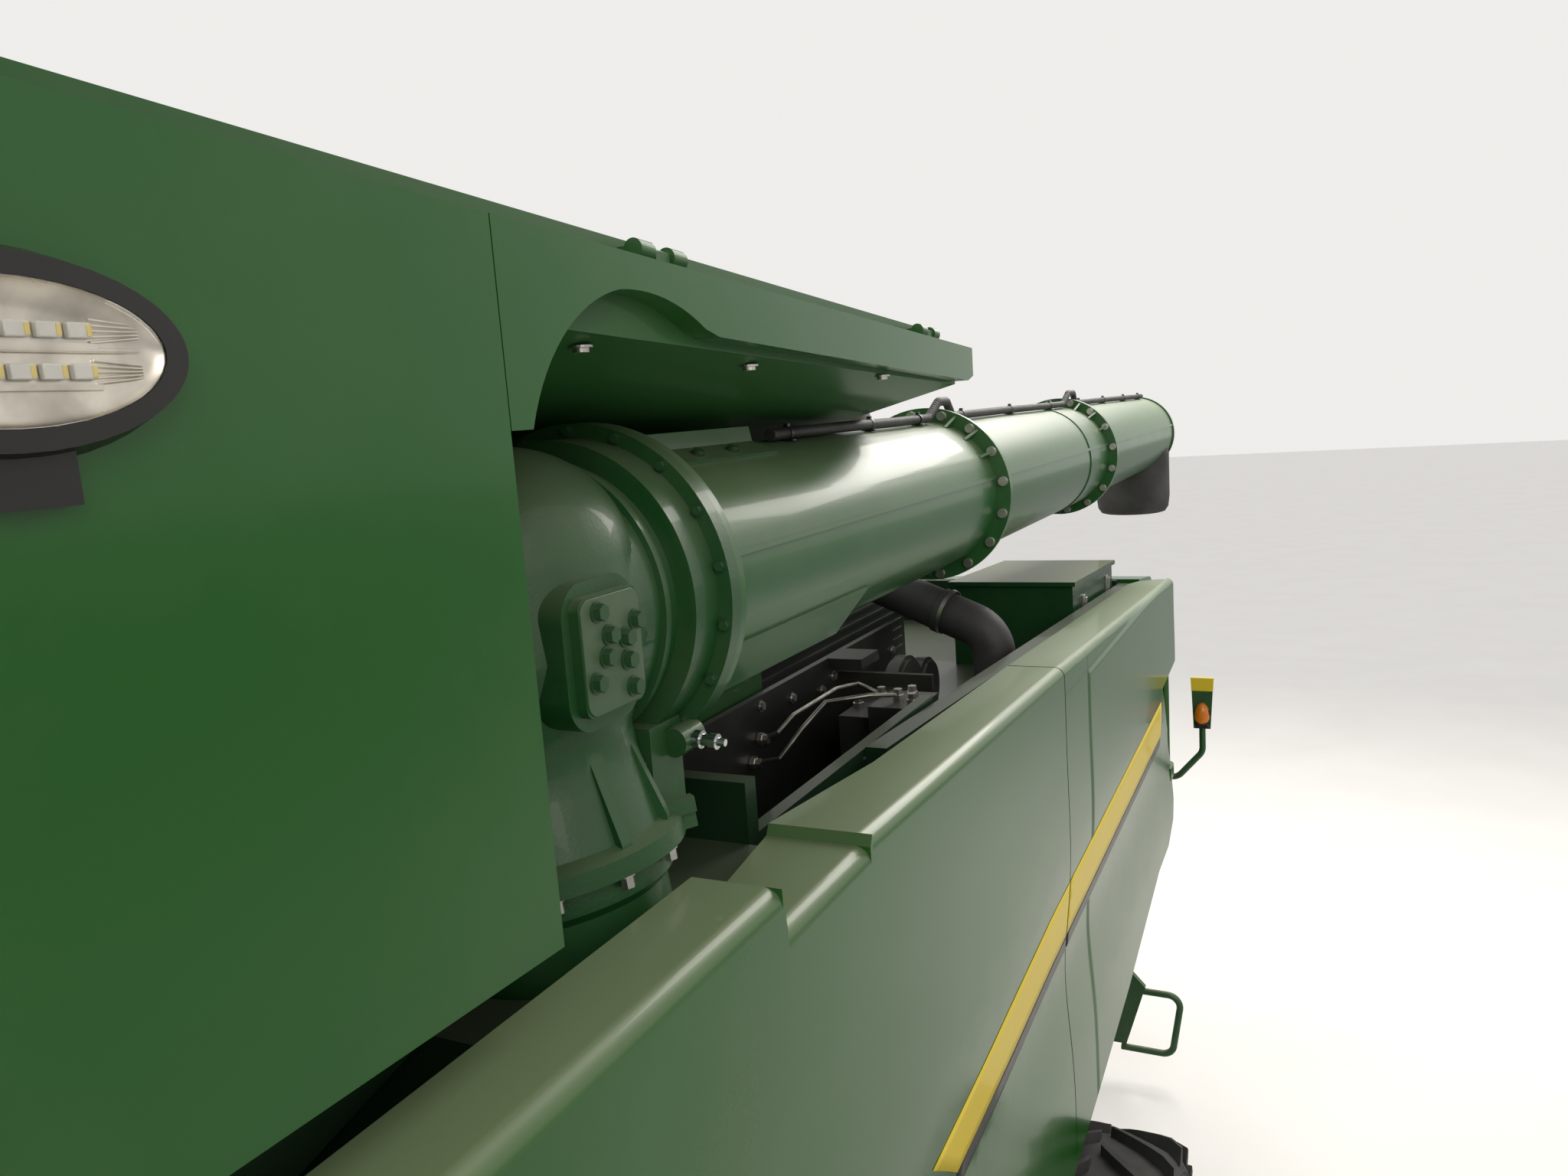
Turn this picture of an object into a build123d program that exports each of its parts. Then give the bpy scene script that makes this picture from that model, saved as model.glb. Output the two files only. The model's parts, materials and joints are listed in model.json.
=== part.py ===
from build123d import *
from math import cos, pi, radians, sin, sqrt
import os

# Self-propelled rotary combine harvester without its header, millimetres.
# It stands on its four tyres at Z 0 and faces -Y; its left side, with the
# unloading auger, the landing and the ladder, is +X.

os.makedirs("parts", exist_ok=True)

# Driving dimensions
LENGTH_HALF = 4850
MIRROR_REACH = 2150

FRONT_AXLE_Y = -2400
FRONT_TYRE_R, FRONT_TYRE_WIDTH, FRONT_RIM_R = 1040, 800, 483
FRONT_WHEEL_X = 1500
REAR_AXLE_Y = 800
REAR_TYRE_R, REAR_TYRE_WIDTH, REAR_RIM_R = 620, 480, 318
REAR_WHEEL_X = 1600
KINGPIN_X = 1200
DISC_Z = 60

BODY_FRONT_Y, BODY_REAR_Y = -2230, 3000
BODY_HALF, BODY_LOW_HALF = 950, 640
BODY_LOW_Z, BODY_WAIST_Z, BODY_TOP_Z = 1180, 1560, 2480

PANEL_X, PANEL_THICK = 1490, 40
TANK_FRONT_Y, TANK_REAR_Y = -2400, 200
PANEL_REAR_Y, BAND_TIP_Y = -1522, 221
PANEL_LOW_Z = 3041
RIM_FRONT_Z, RIM_REAR_Z = 3891, 3737
TANK_WALL = 30

TUBE_R, TUBE_X, TUBE_Z = 220, 1159, 3356
SWIVEL_Y, SWIVEL_LEAN = -1200, 8
FLANGE_YS = (-945, 810, 2640)
TUBE_END_Y = 4800
BOOT_Y = 4637

SHIELD_X, SHIELD_THICK = 1600, 28
SHIELD_SEAM_Y, SHIELD_FRONT_Y, SHIELD_REAR_Y = 670, -2250, 3040
HINGE_X, HINGE_FRONT_Y, HINGE_REAR_Y, HINGE_R = 1535, -2285, 3075, 20

FLOOR_Z = 2130
CAB_HALF, CAB_WALL = 880, 60
FEEDER_HALF = 725
FEEDER_PIVOT = (-2450, 1800)
CYL_X, LUG_OFF, PIN_R = 545, 55, 20
PIN_A, PIN_B = (-2650, 780), (-4150, 600)
RUN_GAP = 0.05


def outline(points):
    """A flat face inside a closed outline."""
    return make_face(Polyline(*points, close=True))


def along_x(points, x_low, width):
    """A side profile of (y, z) points carried across the machine."""
    return extrude(Plane.YZ.offset(x_low) * outline(points), amount=width)


def along_y(points, y_low, length):
    """A cross profile of (x, z) points carried along the machine."""
    return Pos(0, y_low + length, 0) * extrude(Plane.XZ * outline(points), amount=length)


def along_z(points, z_low, height):
    """A plan profile of (x, y) points carried upwards."""
    return extrude(Plane.XY.offset(z_low) * outline(points), amount=height)


def block(low, high):
    """A box between its lowest and highest corner."""
    middle = [(a + b) / 2 for a, b in zip(low, high)]
    size = [b - a for a, b in zip(low, high)]
    return Pos(*middle) * Box(*size)


def rod(start, end, radius):
    """A round bar from one point to another."""
    start, end = Vector(*start), Vector(*end)
    run = end - start
    foot = (Align.CENTER, Align.CENTER, Align.MIN)
    return Plane(origin=start, z_dir=run) * Cylinder(radius, run.length, align=foot)


def pipe(points, bend, radius):
    """A bent tube along straight runs joined by arcs."""
    path = FilletPolyline(*points, radius=bend)
    section = Plane(origin=path @ 0, z_dir=path % 0) * Circle(radius)
    return sweep(section, path=path)


def turned(points):
    """A body of revolution about Z from (radius, z) points."""
    return revolve(Plane.XZ * outline(points), axis=Axis.Z)


def rounded_block(low, high, corner):
    """A box whose edges along X are rounded."""
    body = block(low, high)
    return fillet(body.edges().filter_by(Axis.X), corner)


def other_side(shape):
    """The same piece on the other side of the machine."""
    return mirror(shape, about=Plane.YZ)


def pair(shape):
    """A piece and its mirror image, which share a node."""
    return [shape, other_side(shape)]


def save(name, shape):
    """One piece, one file."""
    if isinstance(shape, (list, ShapeList)):
        shape = Compound(children=list(shape))
    export_step(shape, f"parts/{name}.step")


def save_sides(name, shape):
    """A piece of the left side and its mirror image on the right."""
    save(name + "_left", shape)
    save(name + "_right", other_side(shape))


def flat_solid(faces):
    """A solid inside flat faces, each given by its corners."""
    sides = [Face(Wire.make_polygon(corners, close=True)) for corners in faces]
    return Solid(Shell(sides))


def around_x(radius, x, angle):
    """A point on a circle about the wheel's axle."""
    return Vector(x, radius * cos(angle), radius * sin(angle))


def carcass(rings, sides):
    """A tyre's casing in flat facets, from (radius, x) rings in order."""
    corners = []
    for radius, x in rings:
        corners.append([around_x(radius, x, 2 * pi * k / sides) for k in range(sides)])
    faces = []
    for near, far in zip(corners, corners[1:] + corners[:1]):
        for k in range(sides):
            following = (k + 1) % sides
            faces.append([near[k], near[following], far[following], far[k]])
    return flat_solid(faces)


def lug(outer, depth, half_width, sweep_angle, side, angle):
    """One tread bar, from the middle of the tread to the shoulder."""
    corners = []
    for x, shift, half in ((14, 0, 40), (0.97 * half_width, sweep_angle, 58)):
        for turn in (-half / outer, half / outer):
            for radius in (outer - depth - 45, outer):
                corners.append(around_x(radius, side * x, angle + shift + turn))
    low_a, top_a, low_b, top_b, low_c, top_c, low_d, top_d = corners
    return flat_solid([
        (low_a, low_b, top_b), (low_a, top_b, top_a),
        (low_c, top_c, top_d), (low_c, top_d, low_d),
        (top_a, top_c, top_d), (top_a, top_d, top_b),
        (low_a, low_b, low_d), (low_a, low_d, low_c),
        (low_a, low_c, top_c), (low_a, top_c, top_a),
        (low_b, top_b, top_d), (low_b, top_d, low_d),
    ])


def tyre(outer, bore, width, count):
    """A tractor tyre: facetted casing with slanted lugs, axle along X."""
    half, depth, sides = width / 2, 0.055 * outer, 2 * count
    tread, seat = outer - depth, bore / cos(pi / sides) + RUN_GAP
    shape = [
        (seat, 0.40), (bore + 60, 0.485), (0.80 * outer, 0.50),
        (tread - 34, 0.46), (tread - 4, 0.30), (tread, 0),
    ]
    right = [(radius, -part * width) for radius, part in shape]
    left = [(radius, part * width) for radius, part in reversed(shape[:-1])]
    casing = carcass(right + left, sides)
    bars = []
    for k in range(count):
        angle = 2 * pi * k / count
        bars.append(lug(outer, depth, half, 0.22, 1, angle))
        bars.append(lug(outer, depth, half, 0.22, -1, angle + pi / count))
    return casing.fuse(*bars)


def rim(bore, width):
    """A dished wheel disc in its barrel, axle along X, outer side +X."""
    half = 0.40 * width
    points = [
        (bore, -half), (bore, half), (bore - 24, half), (bore - 44, half - 70),
        (bore - 44, DISC_Z + 50), (0.60 * bore, DISC_Z - 30), (0.53 * bore, DISC_Z + 26),
        (0.20 * bore, DISC_Z + 26), (0.19 * bore, DISC_Z + 80), (0, DISC_Z + 80),
        (0, DISC_Z), (0.36 * bore, DISC_Z), (0.60 * bore, DISC_Z - 56),
        (bore - 64, DISC_Z), (bore - 64, -half + 70), (bore - 24, -half),
    ]
    return Rot(0, 90, 0) * turned(points)


# Wheels: lugged tyres on dished rims
front_hub = Pos(FRONT_WHEEL_X, FRONT_AXLE_Y, FRONT_TYRE_R)
rear_hub = Pos(REAR_WHEEL_X, REAR_AXLE_Y, REAR_TYRE_R)
front_tyre = front_hub * tyre(FRONT_TYRE_R, FRONT_RIM_R, FRONT_TYRE_WIDTH, 13)
front_rim = front_hub * rim(FRONT_RIM_R, FRONT_TYRE_WIDTH)
rear_tyre = rear_hub * tyre(REAR_TYRE_R, REAR_RIM_R, REAR_TYRE_WIDTH, 11)
rear_rim = rear_hub * rim(REAR_RIM_R, REAR_TYRE_WIDTH)
save_sides("tyre_front", front_tyre)
save_sides("rim_front", front_rim)
save_sides("tyre_rear", rear_tyre)
save_sides("rim_rear", rear_rim)

# Chassis rails, cross members and the drawbar for towing
RAIL_X, RAIL_W, RAIL_LOW, RAIL_HIGH = 700, 110, 1200, 1400
HITCH_Y, HITCH_Z, HITCH_R = 3320, 760, 16
rail = block((RAIL_X - RAIL_W / 2, -2480, RAIL_LOW), (RAIL_X + RAIL_W / 2, 2950, RAIL_HIGH))
chassis = rail + other_side(rail)
for y in (FRONT_AXLE_Y, -300, REAR_AXLE_Y, 2850):
    span = RAIL_X + RAIL_W / 2
    chassis += block((-span, y - 60, BODY_LOW_Z - 90), (span, y + 60, BODY_LOW_Z))
    for side in (-1, 1):
        inner, outer = sorted((side * (RAIL_X - RAIL_W / 2), side * span))
        chassis += block((inner, y - 60, BODY_LOW_Z - 10), (outer, y + 60, RAIL_LOW + 10))
hitch_side = [(2790, 1090), (2910, 1090), (2910, 900), (2990, 820), (2990, HITCH_Z), (2790, HITCH_Z)]
chassis += along_x(hitch_side, -110, 220)
chassis += along_z([(-90, 2900), (90, 2900), (55, HITCH_Y + 60), (-55, HITCH_Y + 60)], HITCH_Z, 40)
chassis -= rod((0, HITCH_Y, HITCH_Z - 5), (0, HITCH_Y, HITCH_Z + 45), HITCH_R)
save("chassis_frame", chassis)

# Front axle with its final drives, hubs and lift cylinder lugs
axle = block((-760, -2530, 900), (760, -2270, BODY_LOW_Z - 90))
drive_case = Plane.YZ.offset(758) * Rot(0, 0, 90) * SlotOverall(560, 420)
left_drive = Pos(0, FRONT_AXLE_Y, FRONT_TYRE_R - 20) * extrude(drive_case, amount=220)
left_drive += rod((978, FRONT_AXLE_Y, FRONT_TYRE_R), (1240, FRONT_AXLE_Y, FRONT_TYRE_R), 215)
left_hub_end = (FRONT_WHEEL_X + DISC_Z, FRONT_AXLE_Y, FRONT_TYRE_R)
left_drive += rod((1240, FRONT_AXLE_Y, FRONT_TYRE_R), left_hub_end, 160)
axle += left_drive + other_side(left_drive)
for side in (-1, 1):
    for lug_x in (CYL_X - LUG_OFF, CYL_X + LUG_OFF):
        ear = block((side * lug_x - 15, -2700, 720), (side * lug_x + 15, -2500, 930))
        axle += ear - rod((side * lug_x - 30, *PIN_A), (side * lug_x + 30, *PIN_A), PIN_R + RUN_GAP)
save("front_axle", axle)

# Rear axle: beam, pivot post, kingpin forks and the steering cylinder's barrel
TIE_Y, TIE_Z, TIE_R = REAR_AXLE_Y + 230, REAR_TYRE_R + 45, 25
FORK_LOW, FORK_HIGH, FORK_PLATE = REAR_TYRE_R - 185, REAR_TYRE_R + 115, 60
BEAM_LOW, BEAM_HIGH = REAR_TYRE_R - 105, REAR_TYRE_R + 105
beam_plan = [(-100, 1080), (-100, 300), (-130, 200), (-130, -200), (-100, -300), (-100, -1080)]
beam_plan += [(100, -1080), (100, -300), (130, -200), (130, 200), (100, 300), (100, 1080)]
beam_outline = [(x, REAR_AXLE_Y + y) for y, x in beam_plan]
beam = along_z(beam_outline, BEAM_LOW, BEAM_HIGH - BEAM_LOW)
post = [(-260, BEAM_HIGH), (260, BEAM_HIGH), (150, BODY_LOW_Z - 90), (-150, BODY_LOW_Z - 90)]
beam += along_y(post, REAR_AXLE_Y - 70, 140)
for side in (-1, 1):
    for z_low in (FORK_LOW, FORK_HIGH):
        low_end = (side * KINGPIN_X, REAR_AXLE_Y, z_low)
        beam += rod(low_end, (side * KINGPIN_X, REAR_AXLE_Y, z_low + FORK_PLATE), 85)
        inner, outer = sorted((side * (KINGPIN_X - 150), side * KINGPIN_X))
        beam += block((inner, REAR_AXLE_Y - 85, z_low), (outer, REAR_AXLE_Y + 85, z_low + FORK_PLATE))
    inner, outer = sorted((side * (KINGPIN_X - 150), side * (KINGPIN_X - 100)))
    beam += block((inner, REAR_AXLE_Y - 85, FORK_LOW), (outer, REAR_AXLE_Y + 85, FORK_HIGH + FORK_PLATE))
    inner, outer = sorted((side * 220, side * 260))
    beam += block((inner, REAR_AXLE_Y + 90, TIE_Z - 90), (outer, TIE_Y - 40, TIE_Z + 10))
barrel = rod((-300, TIE_Y, TIE_Z), (300, TIE_Y, TIE_Z), 55)
beam += barrel
beam -= rod((-310, TIE_Y, TIE_Z), (310, TIE_Y, TIE_Z), TIE_R + RUN_GAP)
save("rear_axle", beam)

PIN_LOW, PIN_HIGH = FORK_LOW + FORK_PLATE + 6, FORK_HIGH - 6
knuckle = rod((KINGPIN_X, REAR_AXLE_Y, PIN_LOW), (KINGPIN_X, REAR_AXLE_Y, PIN_HIGH), 75)
spindle_root = (REAR_WHEEL_X - 60, REAR_AXLE_Y, REAR_TYRE_R)
knuckle += rod((KINGPIN_X, REAR_AXLE_Y, REAR_TYRE_R), spindle_root, 70)
knuckle += rod(spindle_root, (REAR_WHEEL_X + DISC_Z, REAR_AXLE_Y, REAR_TYRE_R), 110)
knuckle += block((KINGPIN_X - 20, REAR_AXLE_Y, TIE_Z - 70), (KINGPIN_X + 40, REAR_AXLE_Y + 260, TIE_Z - 30))
save_sides("knuckle", knuckle)
save("tie_rod", rod((-KINGPIN_X + 40, TIE_Y, TIE_Z), (KINGPIN_X - 40, TIE_Y, TIE_Z), TIE_R))

# Threshing and separator body between the side shields
lower = block((-BODY_LOW_HALF, BODY_FRONT_Y, BODY_LOW_Z), (BODY_LOW_HALF, BODY_REAR_Y, BODY_WAIST_Z))
upper = block((-BODY_HALF, BODY_FRONT_Y, BODY_WAIST_Z), (BODY_HALF, BODY_REAR_Y, BODY_TOP_Z))
separator = lower + upper
POST_TOP = 2930
post = rod((HINGE_X, HINGE_FRONT_Y, 2230), (HINGE_X, HINGE_FRONT_Y, POST_TOP), HINGE_R)
for z in (2230, 2360):
    post += block((BODY_HALF - 40, HINGE_FRONT_Y - 20, z), (HINGE_X, HINGE_FRONT_Y + 20, z + 34))
    post += block((BODY_HALF - 40, HINGE_FRONT_Y - 20, z), (BODY_HALF, BODY_FRONT_Y + 5, z + 34))
separator += post + other_side(post)
side_pulleys = (
    (-1750, 1900, 210), (-1150, 1850, 130), (-560, 1800, 250), (300, 2050, 160), (2300, 2100, 240),
)
for y, z, radius in side_pulleys:
    pulley = rod((BODY_HALF - 5, y, z), (BODY_HALF + 60, y, z), radius * 0.3)
    pulley += rod((BODY_HALF + 60, y, z), (BODY_HALF + 130, y, z), radius)
    separator += pulley + other_side(pulley)
for side in (-1, 1):
    separator += block((side * 770 - 20, -2580, 1650), (side * 770 + 20, BODY_FRONT_Y, 1950))
    near, far = (side * 700, *FEEDER_PIVOT), (side * 840, *FEEDER_PIVOT)
    separator -= rod(near, far, 50 + RUN_GAP)
save("separator_body", separator)

# Feeder house with its mouth, header frame, saddle hooks and stiffening ribs
feeder_side = [(-2450, 1960), (-4760, 1290), (-4760, 440), (-2640, 1380), (-2290, 1720), (-2290, 1900)]
feeder = along_x(feeder_side, -FEEDER_HALF, 2 * FEEDER_HALF)
mouth_side = [(-4900, 1200), (-4200, 1360), (-4200, 750), (-4900, 440)]
feeder -= along_x(mouth_side, -FEEDER_HALF + 60, 2 * FEEDER_HALF - 120)
for run in (0.25, 0.5, 0.75):
    y = -2450 - run * 2310
    z = 1960 - run * 670
    stiffener = [(y, z - 60), (y, z + 45), (y - 40, z + 33), (y - 40, z - 70)]
    feeder += along_x(stiffener, -FEEDER_HALF, 2 * FEEDER_HALF)
header_frame = block((-790, -LENGTH_HALF, 430), (790, -4760, 1330))
header_frame -= block((-640, -4860, 500), (640, -4750, 1180))
for side in (-1, 1):
    hook = [(-LENGTH_HALF, 1330), (-LENGTH_HALF, 1440), (-4825, 1440), (-4800, 1370), (-4760, 1330)]
    header_frame += along_x(hook, side * 600 - 50, 100)
feeder += header_frame
for side in (-1, 1):
    feeder += rod((side * 700, *FEEDER_PIVOT), (side * 800, *FEEDER_PIVOT), 50)
    for outward, lug_x in ((-1, CYL_X - LUG_OFF), (1, CYL_X + LUG_OFF)):
        feeder += block((side * lug_x - 15, -4230, 540), (side * lug_x + 15, -4070, 760))
        head = side * (lug_x + outward * 14)
        feeder += rod((head, *PIN_B), (head + side * outward * 12, *PIN_B), PIN_R + 10)
save("feeder_house", feeder)

# Feeder drum: a tube with four slat bars
drum = rod((-640, -4480, 920), (640, -4480, 920), 165)
for k in range(4):
    bar = Pos(0, -4480, 920) * Rot(90 * k, 0, 0) * block((-640, -30, 150), (640, 30, 188))
    drum += bar
save("feeder_drum", drum)

# Lift cylinders from the front axle to the feeder house
reach = sqrt((PIN_B[0] - PIN_A[0]) ** 2 + (PIN_B[1] - PIN_A[1]) ** 2)
way = ((PIN_B[0] - PIN_A[0]) / reach, (PIN_B[1] - PIN_A[1]) / reach)


def on_cylinder(distance):
    """A point on the lift cylinder's axis, measured from its rear pin."""
    return (CYL_X, PIN_A[0] + way[0] * distance, PIN_A[1] + way[1] * distance)


lift_barrel = rod(on_cylinder(110), on_cylinder(900), 60)
lift_barrel += rod(on_cylinder(860), on_cylinder(900), 68)
lift_barrel -= rod(on_cylinder(160), on_cylinder(901), 35 + RUN_GAP)
lift_barrel += rod(on_cylinder(20), on_cylinder(115), 32)
lift_barrel += rod((CYL_X - 32, *PIN_A), (CYL_X + 32, *PIN_A), 45)
lift_barrel += rod((CYL_X - 78, *PIN_A), (CYL_X + 78, *PIN_A), PIN_R)
save("lift_barrels", pair(lift_barrel))
lift_rod = rod(on_cylinder(560), on_cylinder(reach - 20), 35)
lift_rod += rod((CYL_X - 24, *PIN_B), (CYL_X + 24, *PIN_B), 48)
save("lift_rods", pair(lift_rod))

# Grain tank: a hollow hopper, cut back on the left rear for the folded auger
tank_slope = (RIM_REAR_Z - RIM_FRONT_Z) / (TANK_REAR_Y - TANK_FRONT_Y)
TANK_HALF = PANEL_X - PANEL_THICK
HOPPER_HALF = 850
INNER_WALL_X = 860
SOFFIT_IN_Z, SOFFIT_OUT_Z, SOFFIT_TILT = 3612, 3757, -2.8
LID_AXIS_X, LID_AXIS_RISE, LID_PIN_R = 1432, 46, 8


def rim_z(y):
    """The tank's top edge, which falls gently to the rear."""
    return RIM_FRONT_Z + tank_slope * (y - TANK_FRONT_Y)


def tank_body(shrink):
    """The tank's outline, or its inside when it is shrunk by the wall."""
    half, low, foot = TANK_HALF - shrink, PANEL_LOW_Z + 20 + shrink, BODY_TOP_Z + shrink
    hopper = HOPPER_HALF - shrink
    cross = [(-half, 4400), (-half, low), (-hopper, foot), (hopper, foot), (half, low), (half, 4400)]
    front, rear, top = TANK_FRONT_Y + shrink, TANK_REAR_Y - shrink, 10 * shrink
    side = [(front, 2400), (front, RIM_FRONT_Z + top), (rear, RIM_REAR_Z + top), (rear, 2400)]
    body = along_y(cross, TANK_FRONT_Y - 10, 2700) & along_x(side, -2000, 4000)
    wall, soffit_in, soffit_out = INNER_WALL_X - shrink, SOFFIT_IN_Z + shrink, SOFFIT_OUT_Z + shrink
    recess = [(wall, 2000), (wall, soffit_in), (TANK_HALF, soffit_out), (2000, soffit_out), (2000, 2000)]
    pivot = Pos(0, PANEL_REAR_Y, SOFFIT_OUT_Z)
    tilt = pivot * Rot(SOFFIT_TILT, 0, 0) * pivot.inverse()
    return body - tilt * along_y(recess, PANEL_REAR_Y - shrink, 2400)


def lid_line(y):
    """A point on the left lid's hinge line."""
    return (LID_AXIS_X, y, rim_z(y) + LID_AXIS_RISE)


LID_HINGES = (-2250, -1100, 50)
grain_tank = tank_body(0) - tank_body(TANK_WALL)
for y in LID_HINGES:
    ear_low, ear_high = rim_z(y) - 40, rim_z(y) + 50
    ear = along_x([(y - 18, ear_low), (y + 18, ear_low), (y + 18, ear_high), (y - 18, ear_high)], 1422, 20)
    ear += rod(lid_line(y - 60), lid_line(y + 60), LID_PIN_R)
    grain_tank += ear + other_side(ear)
save("grain_tank", grain_tank)

# Side panels and the arched band over the folded auger
TOP_LIP = 20
panel_side = [
    (TANK_FRONT_Y, 3070),
    (TANK_FRONT_Y, RIM_FRONT_Z + TOP_LIP),
    (PANEL_REAR_Y, rim_z(PANEL_REAR_Y) + TOP_LIP),
    (PANEL_REAR_Y, PANEL_LOW_Z),
]
save("tank_panel_left", along_x(panel_side, TANK_HALF, PANEL_THICK))
BAND_FRONT_Y = PANEL_REAR_Y + 2
band_top = Polyline(
    (-1483, 3632),
    (BAND_FRONT_Y, 3632),
    (BAND_FRONT_Y, rim_z(BAND_FRONT_Y) + TOP_LIP),
    (BAND_TIP_Y, rim_z(BAND_TIP_Y) + TOP_LIP),
    (BAND_TIP_Y, 3690),
    (180, 3679),
    (-1040, 3745),
    (-1079, 3755),
)
arch = [
    ThreePointArc((-1483, 3632), (-1422, 3726), (-1287, 3796)),
    ThreePointArc((-1287, 3796), (-1178, 3790), (-1079, 3755)),
]
band = extrude(Plane.YZ.offset(TANK_HALF) * make_face([*band_top.edges(), *arch]), amount=PANEL_THICK)
save("tank_band_left", band)
right_side = [
    (TANK_FRONT_Y, 3070),
    (TANK_FRONT_Y, RIM_FRONT_Z + TOP_LIP),
    (BAND_TIP_Y, rim_z(BAND_TIP_Y) + TOP_LIP),
    (BAND_TIP_Y, 3690),
    (PANEL_REAR_Y + 250, 3120),
    (PANEL_REAR_Y, PANEL_LOW_Z),
]
save("tank_panel_right", other_side(along_x(right_side, TANK_HALF, PANEL_THICK)))

# Oval work lamps on the side panels: a bezel around a recessed lens seat
LAMP_Y, LAMP_Z = -2044, 3704
lamp = extrude(Ellipse(74, 138), amount=26, taper=18)
lamp -= Pos(0, 0, 12) * extrude(Ellipse(50, 112), amount=20)
lamp += Pos(80, 10, 8) * Box(46, 60, 16)
save("tank_lamps", pair(Pos(PANEL_X, LAMP_Y, LAMP_Z) * Rot(0, 90, 0) * lamp))

# Tank lids on knuckles along the outer edges
LID_EDGE_X = 1408
LID_LOW, LID_HIGH = 28, 63
lid_side = [
    (TANK_FRONT_Y, RIM_FRONT_Z + LID_LOW),
    (TANK_FRONT_Y, RIM_FRONT_Z + LID_HIGH),
    (TANK_REAR_Y, RIM_REAR_Z + LID_HIGH),
    (TANK_REAR_Y, RIM_REAR_Z + LID_LOW),
]
lid = along_x(lid_side, 5, LID_EDGE_X - 5)
for y in LID_HINGES:
    for y_low, y_high in ((y - 60, y - 24), (y + 24, y + 60)):
        lid += rod(lid_line(y_low), lid_line(y_high), 15)
        z = rim_z(y) + LID_AXIS_RISE
        lid += block((LID_EDGE_X - 10, y_low, z - 9), (LID_AXIS_X, y_high, z + 9))
        lid -= rod(lid_line(y_low - 5), lid_line(y_high + 5), LID_PIN_R + RUN_GAP)
save_sides("tank_lid", lid)

# Unloading auger: cast elbow with a bolted side cover on its base flange
swivel = Pos(TUBE_X, SWIVEL_Y, TUBE_Z) * Rot(0, -SWIVEL_LEAN, 0)
BASE_TOP, BASE_LOW, BASE_R, BOWL_R, NECK_R = -346, -374, 214, 228, 168
bowl = Polyline(
    (0, 252), (0, BASE_LOW), (BASE_R, BASE_LOW), (BASE_R, BASE_TOP),
    (NECK_R + 18, BASE_TOP + 12), (NECK_R, -230), (NECK_R, -190), (BOWL_R, -60), (BOWL_R, 60),
)
crown = ThreePointArc((BOWL_R, 60), (169, 196), (28, 252))
bowl_half = make_face([*bowl.edges(), crown, Line((28, 252), (0, 252))])
elbow = swivel * revolve(Plane.XZ * bowl_half, axis=Axis.Z)


def collar(y_low, y_high, radius):
    """A ring about the tube's axis."""
    return rod((TUBE_X, y_low, TUBE_Z), (TUBE_X, y_high, TUBE_Z), radius)


elbow += collar(SWIVEL_Y, -975, BOWL_R - 4)
elbow += collar(-1092, -1078, 234)
elbow += collar(-1046, -975, 258)
elbow += collar(-975, FLANGE_YS[0], 282)
elbow += rounded_block((1250, -1330, 3222), (1382, -1160, 3428), 50)
elbow += rounded_block((1300, -1314, 3244), (1398, -1172, 3408), 18)
for angle in (20, 75, 130, 185, 240, 295, 345):
    rib_plane = swivel * Rot(0, 0, angle)
    rib = [
        (150, BASE_TOP - 5), (BASE_R - 14, BASE_TOP - 5), (BASE_R - 14, BASE_TOP + 14),
        (NECK_R - 2, -210), (150, -210),
    ]
    elbow += rib_plane * Pos(0, 9, 0) * extrude(Plane.XZ * outline(rib), amount=18)
for side in (-1, 1):
    low, high = (NECK_R - 8, side * 60 - 12, BASE_TOP - 2), (BASE_R + 12, side * 60 + 12, BASE_TOP + 22)
    elbow += swivel * Rot(0, 0, 48) * block(low, high)
elbow += swivel * Rot(0, 0, 48) * block((196, -60, BASE_LOW), (BASE_R + 12, 60, BASE_TOP))
bracket = block((1236, -1075, 3005), (1332, -985, 3162))
bracket -= block((1262, -1090, 3062), (1322, -970, 3108))
bracket += rod((1345, -1030, 3128), (1345, -968, 3128), 24) + block((1300, -1010, 3110), (1345, -985, 3150))
elbow += bracket + block((1100, -1060, 3010), (1240, -1000, 3150))
save("auger_elbow", elbow)

# Unloading tube: flanged lengths, seam, folded strips and the lower channel
tube = collar(FLANGE_YS[0], TUBE_END_Y, TUBE_R)
tube += collar(FLANGE_YS[0], FLANGE_YS[0] + 18, 282)
tube += collar(FLANGE_YS[0] + 18, FLANGE_YS[0] + 26, 270)
tube += collar(FLANGE_YS[1] - 18, FLANGE_YS[1], 262) + collar(FLANGE_YS[1] + 2, FLANGE_YS[1] + 20, 258)
tube += collar(FLANGE_YS[2] - 18, FLANGE_YS[2] + 18, 258)
tube += collar(FLANGE_YS[2] - 420, FLANGE_YS[2] - 404, 224)
tube += collar(TUBE_END_Y - 24, TUBE_END_Y, 228)
SEAM_ANGLE = 12
seam = block((TUBE_R - 4, FLANGE_YS[0], -5), (TUBE_R + 5, TUBE_END_Y - 24, 5))
tube += Pos(TUBE_X, 0, TUBE_Z) * Rot(0, -SEAM_ANGLE, 0) * seam
for y in (FLANGE_YS[1], FLANGE_YS[2]):
    for angle in (30, 48, 66, 126, 198, 270):
        web_side = [(y - 18, TUBE_R - 4), (y - 18, TUBE_R + 34), (y - 84, TUBE_R + 2), (y - 84, TUBE_R - 4)]
        web = along_x(web_side, -4, 8)
        tube += Pos(TUBE_X, 0, TUBE_Z) * Rot(0, 90 - angle, 0) * web
strip = [(1112, 3610), (1198, 3610), (1204, 3580), (1262, 3557), (1257, 3546), (1190, 3555), (1112, 3555)]
tube += along_y(strip, FLANGE_YS[0] + 10, 520)
channel = [(1352, 3240), (1302, 3148), (1016, 3148), (966, 3240)]
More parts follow.
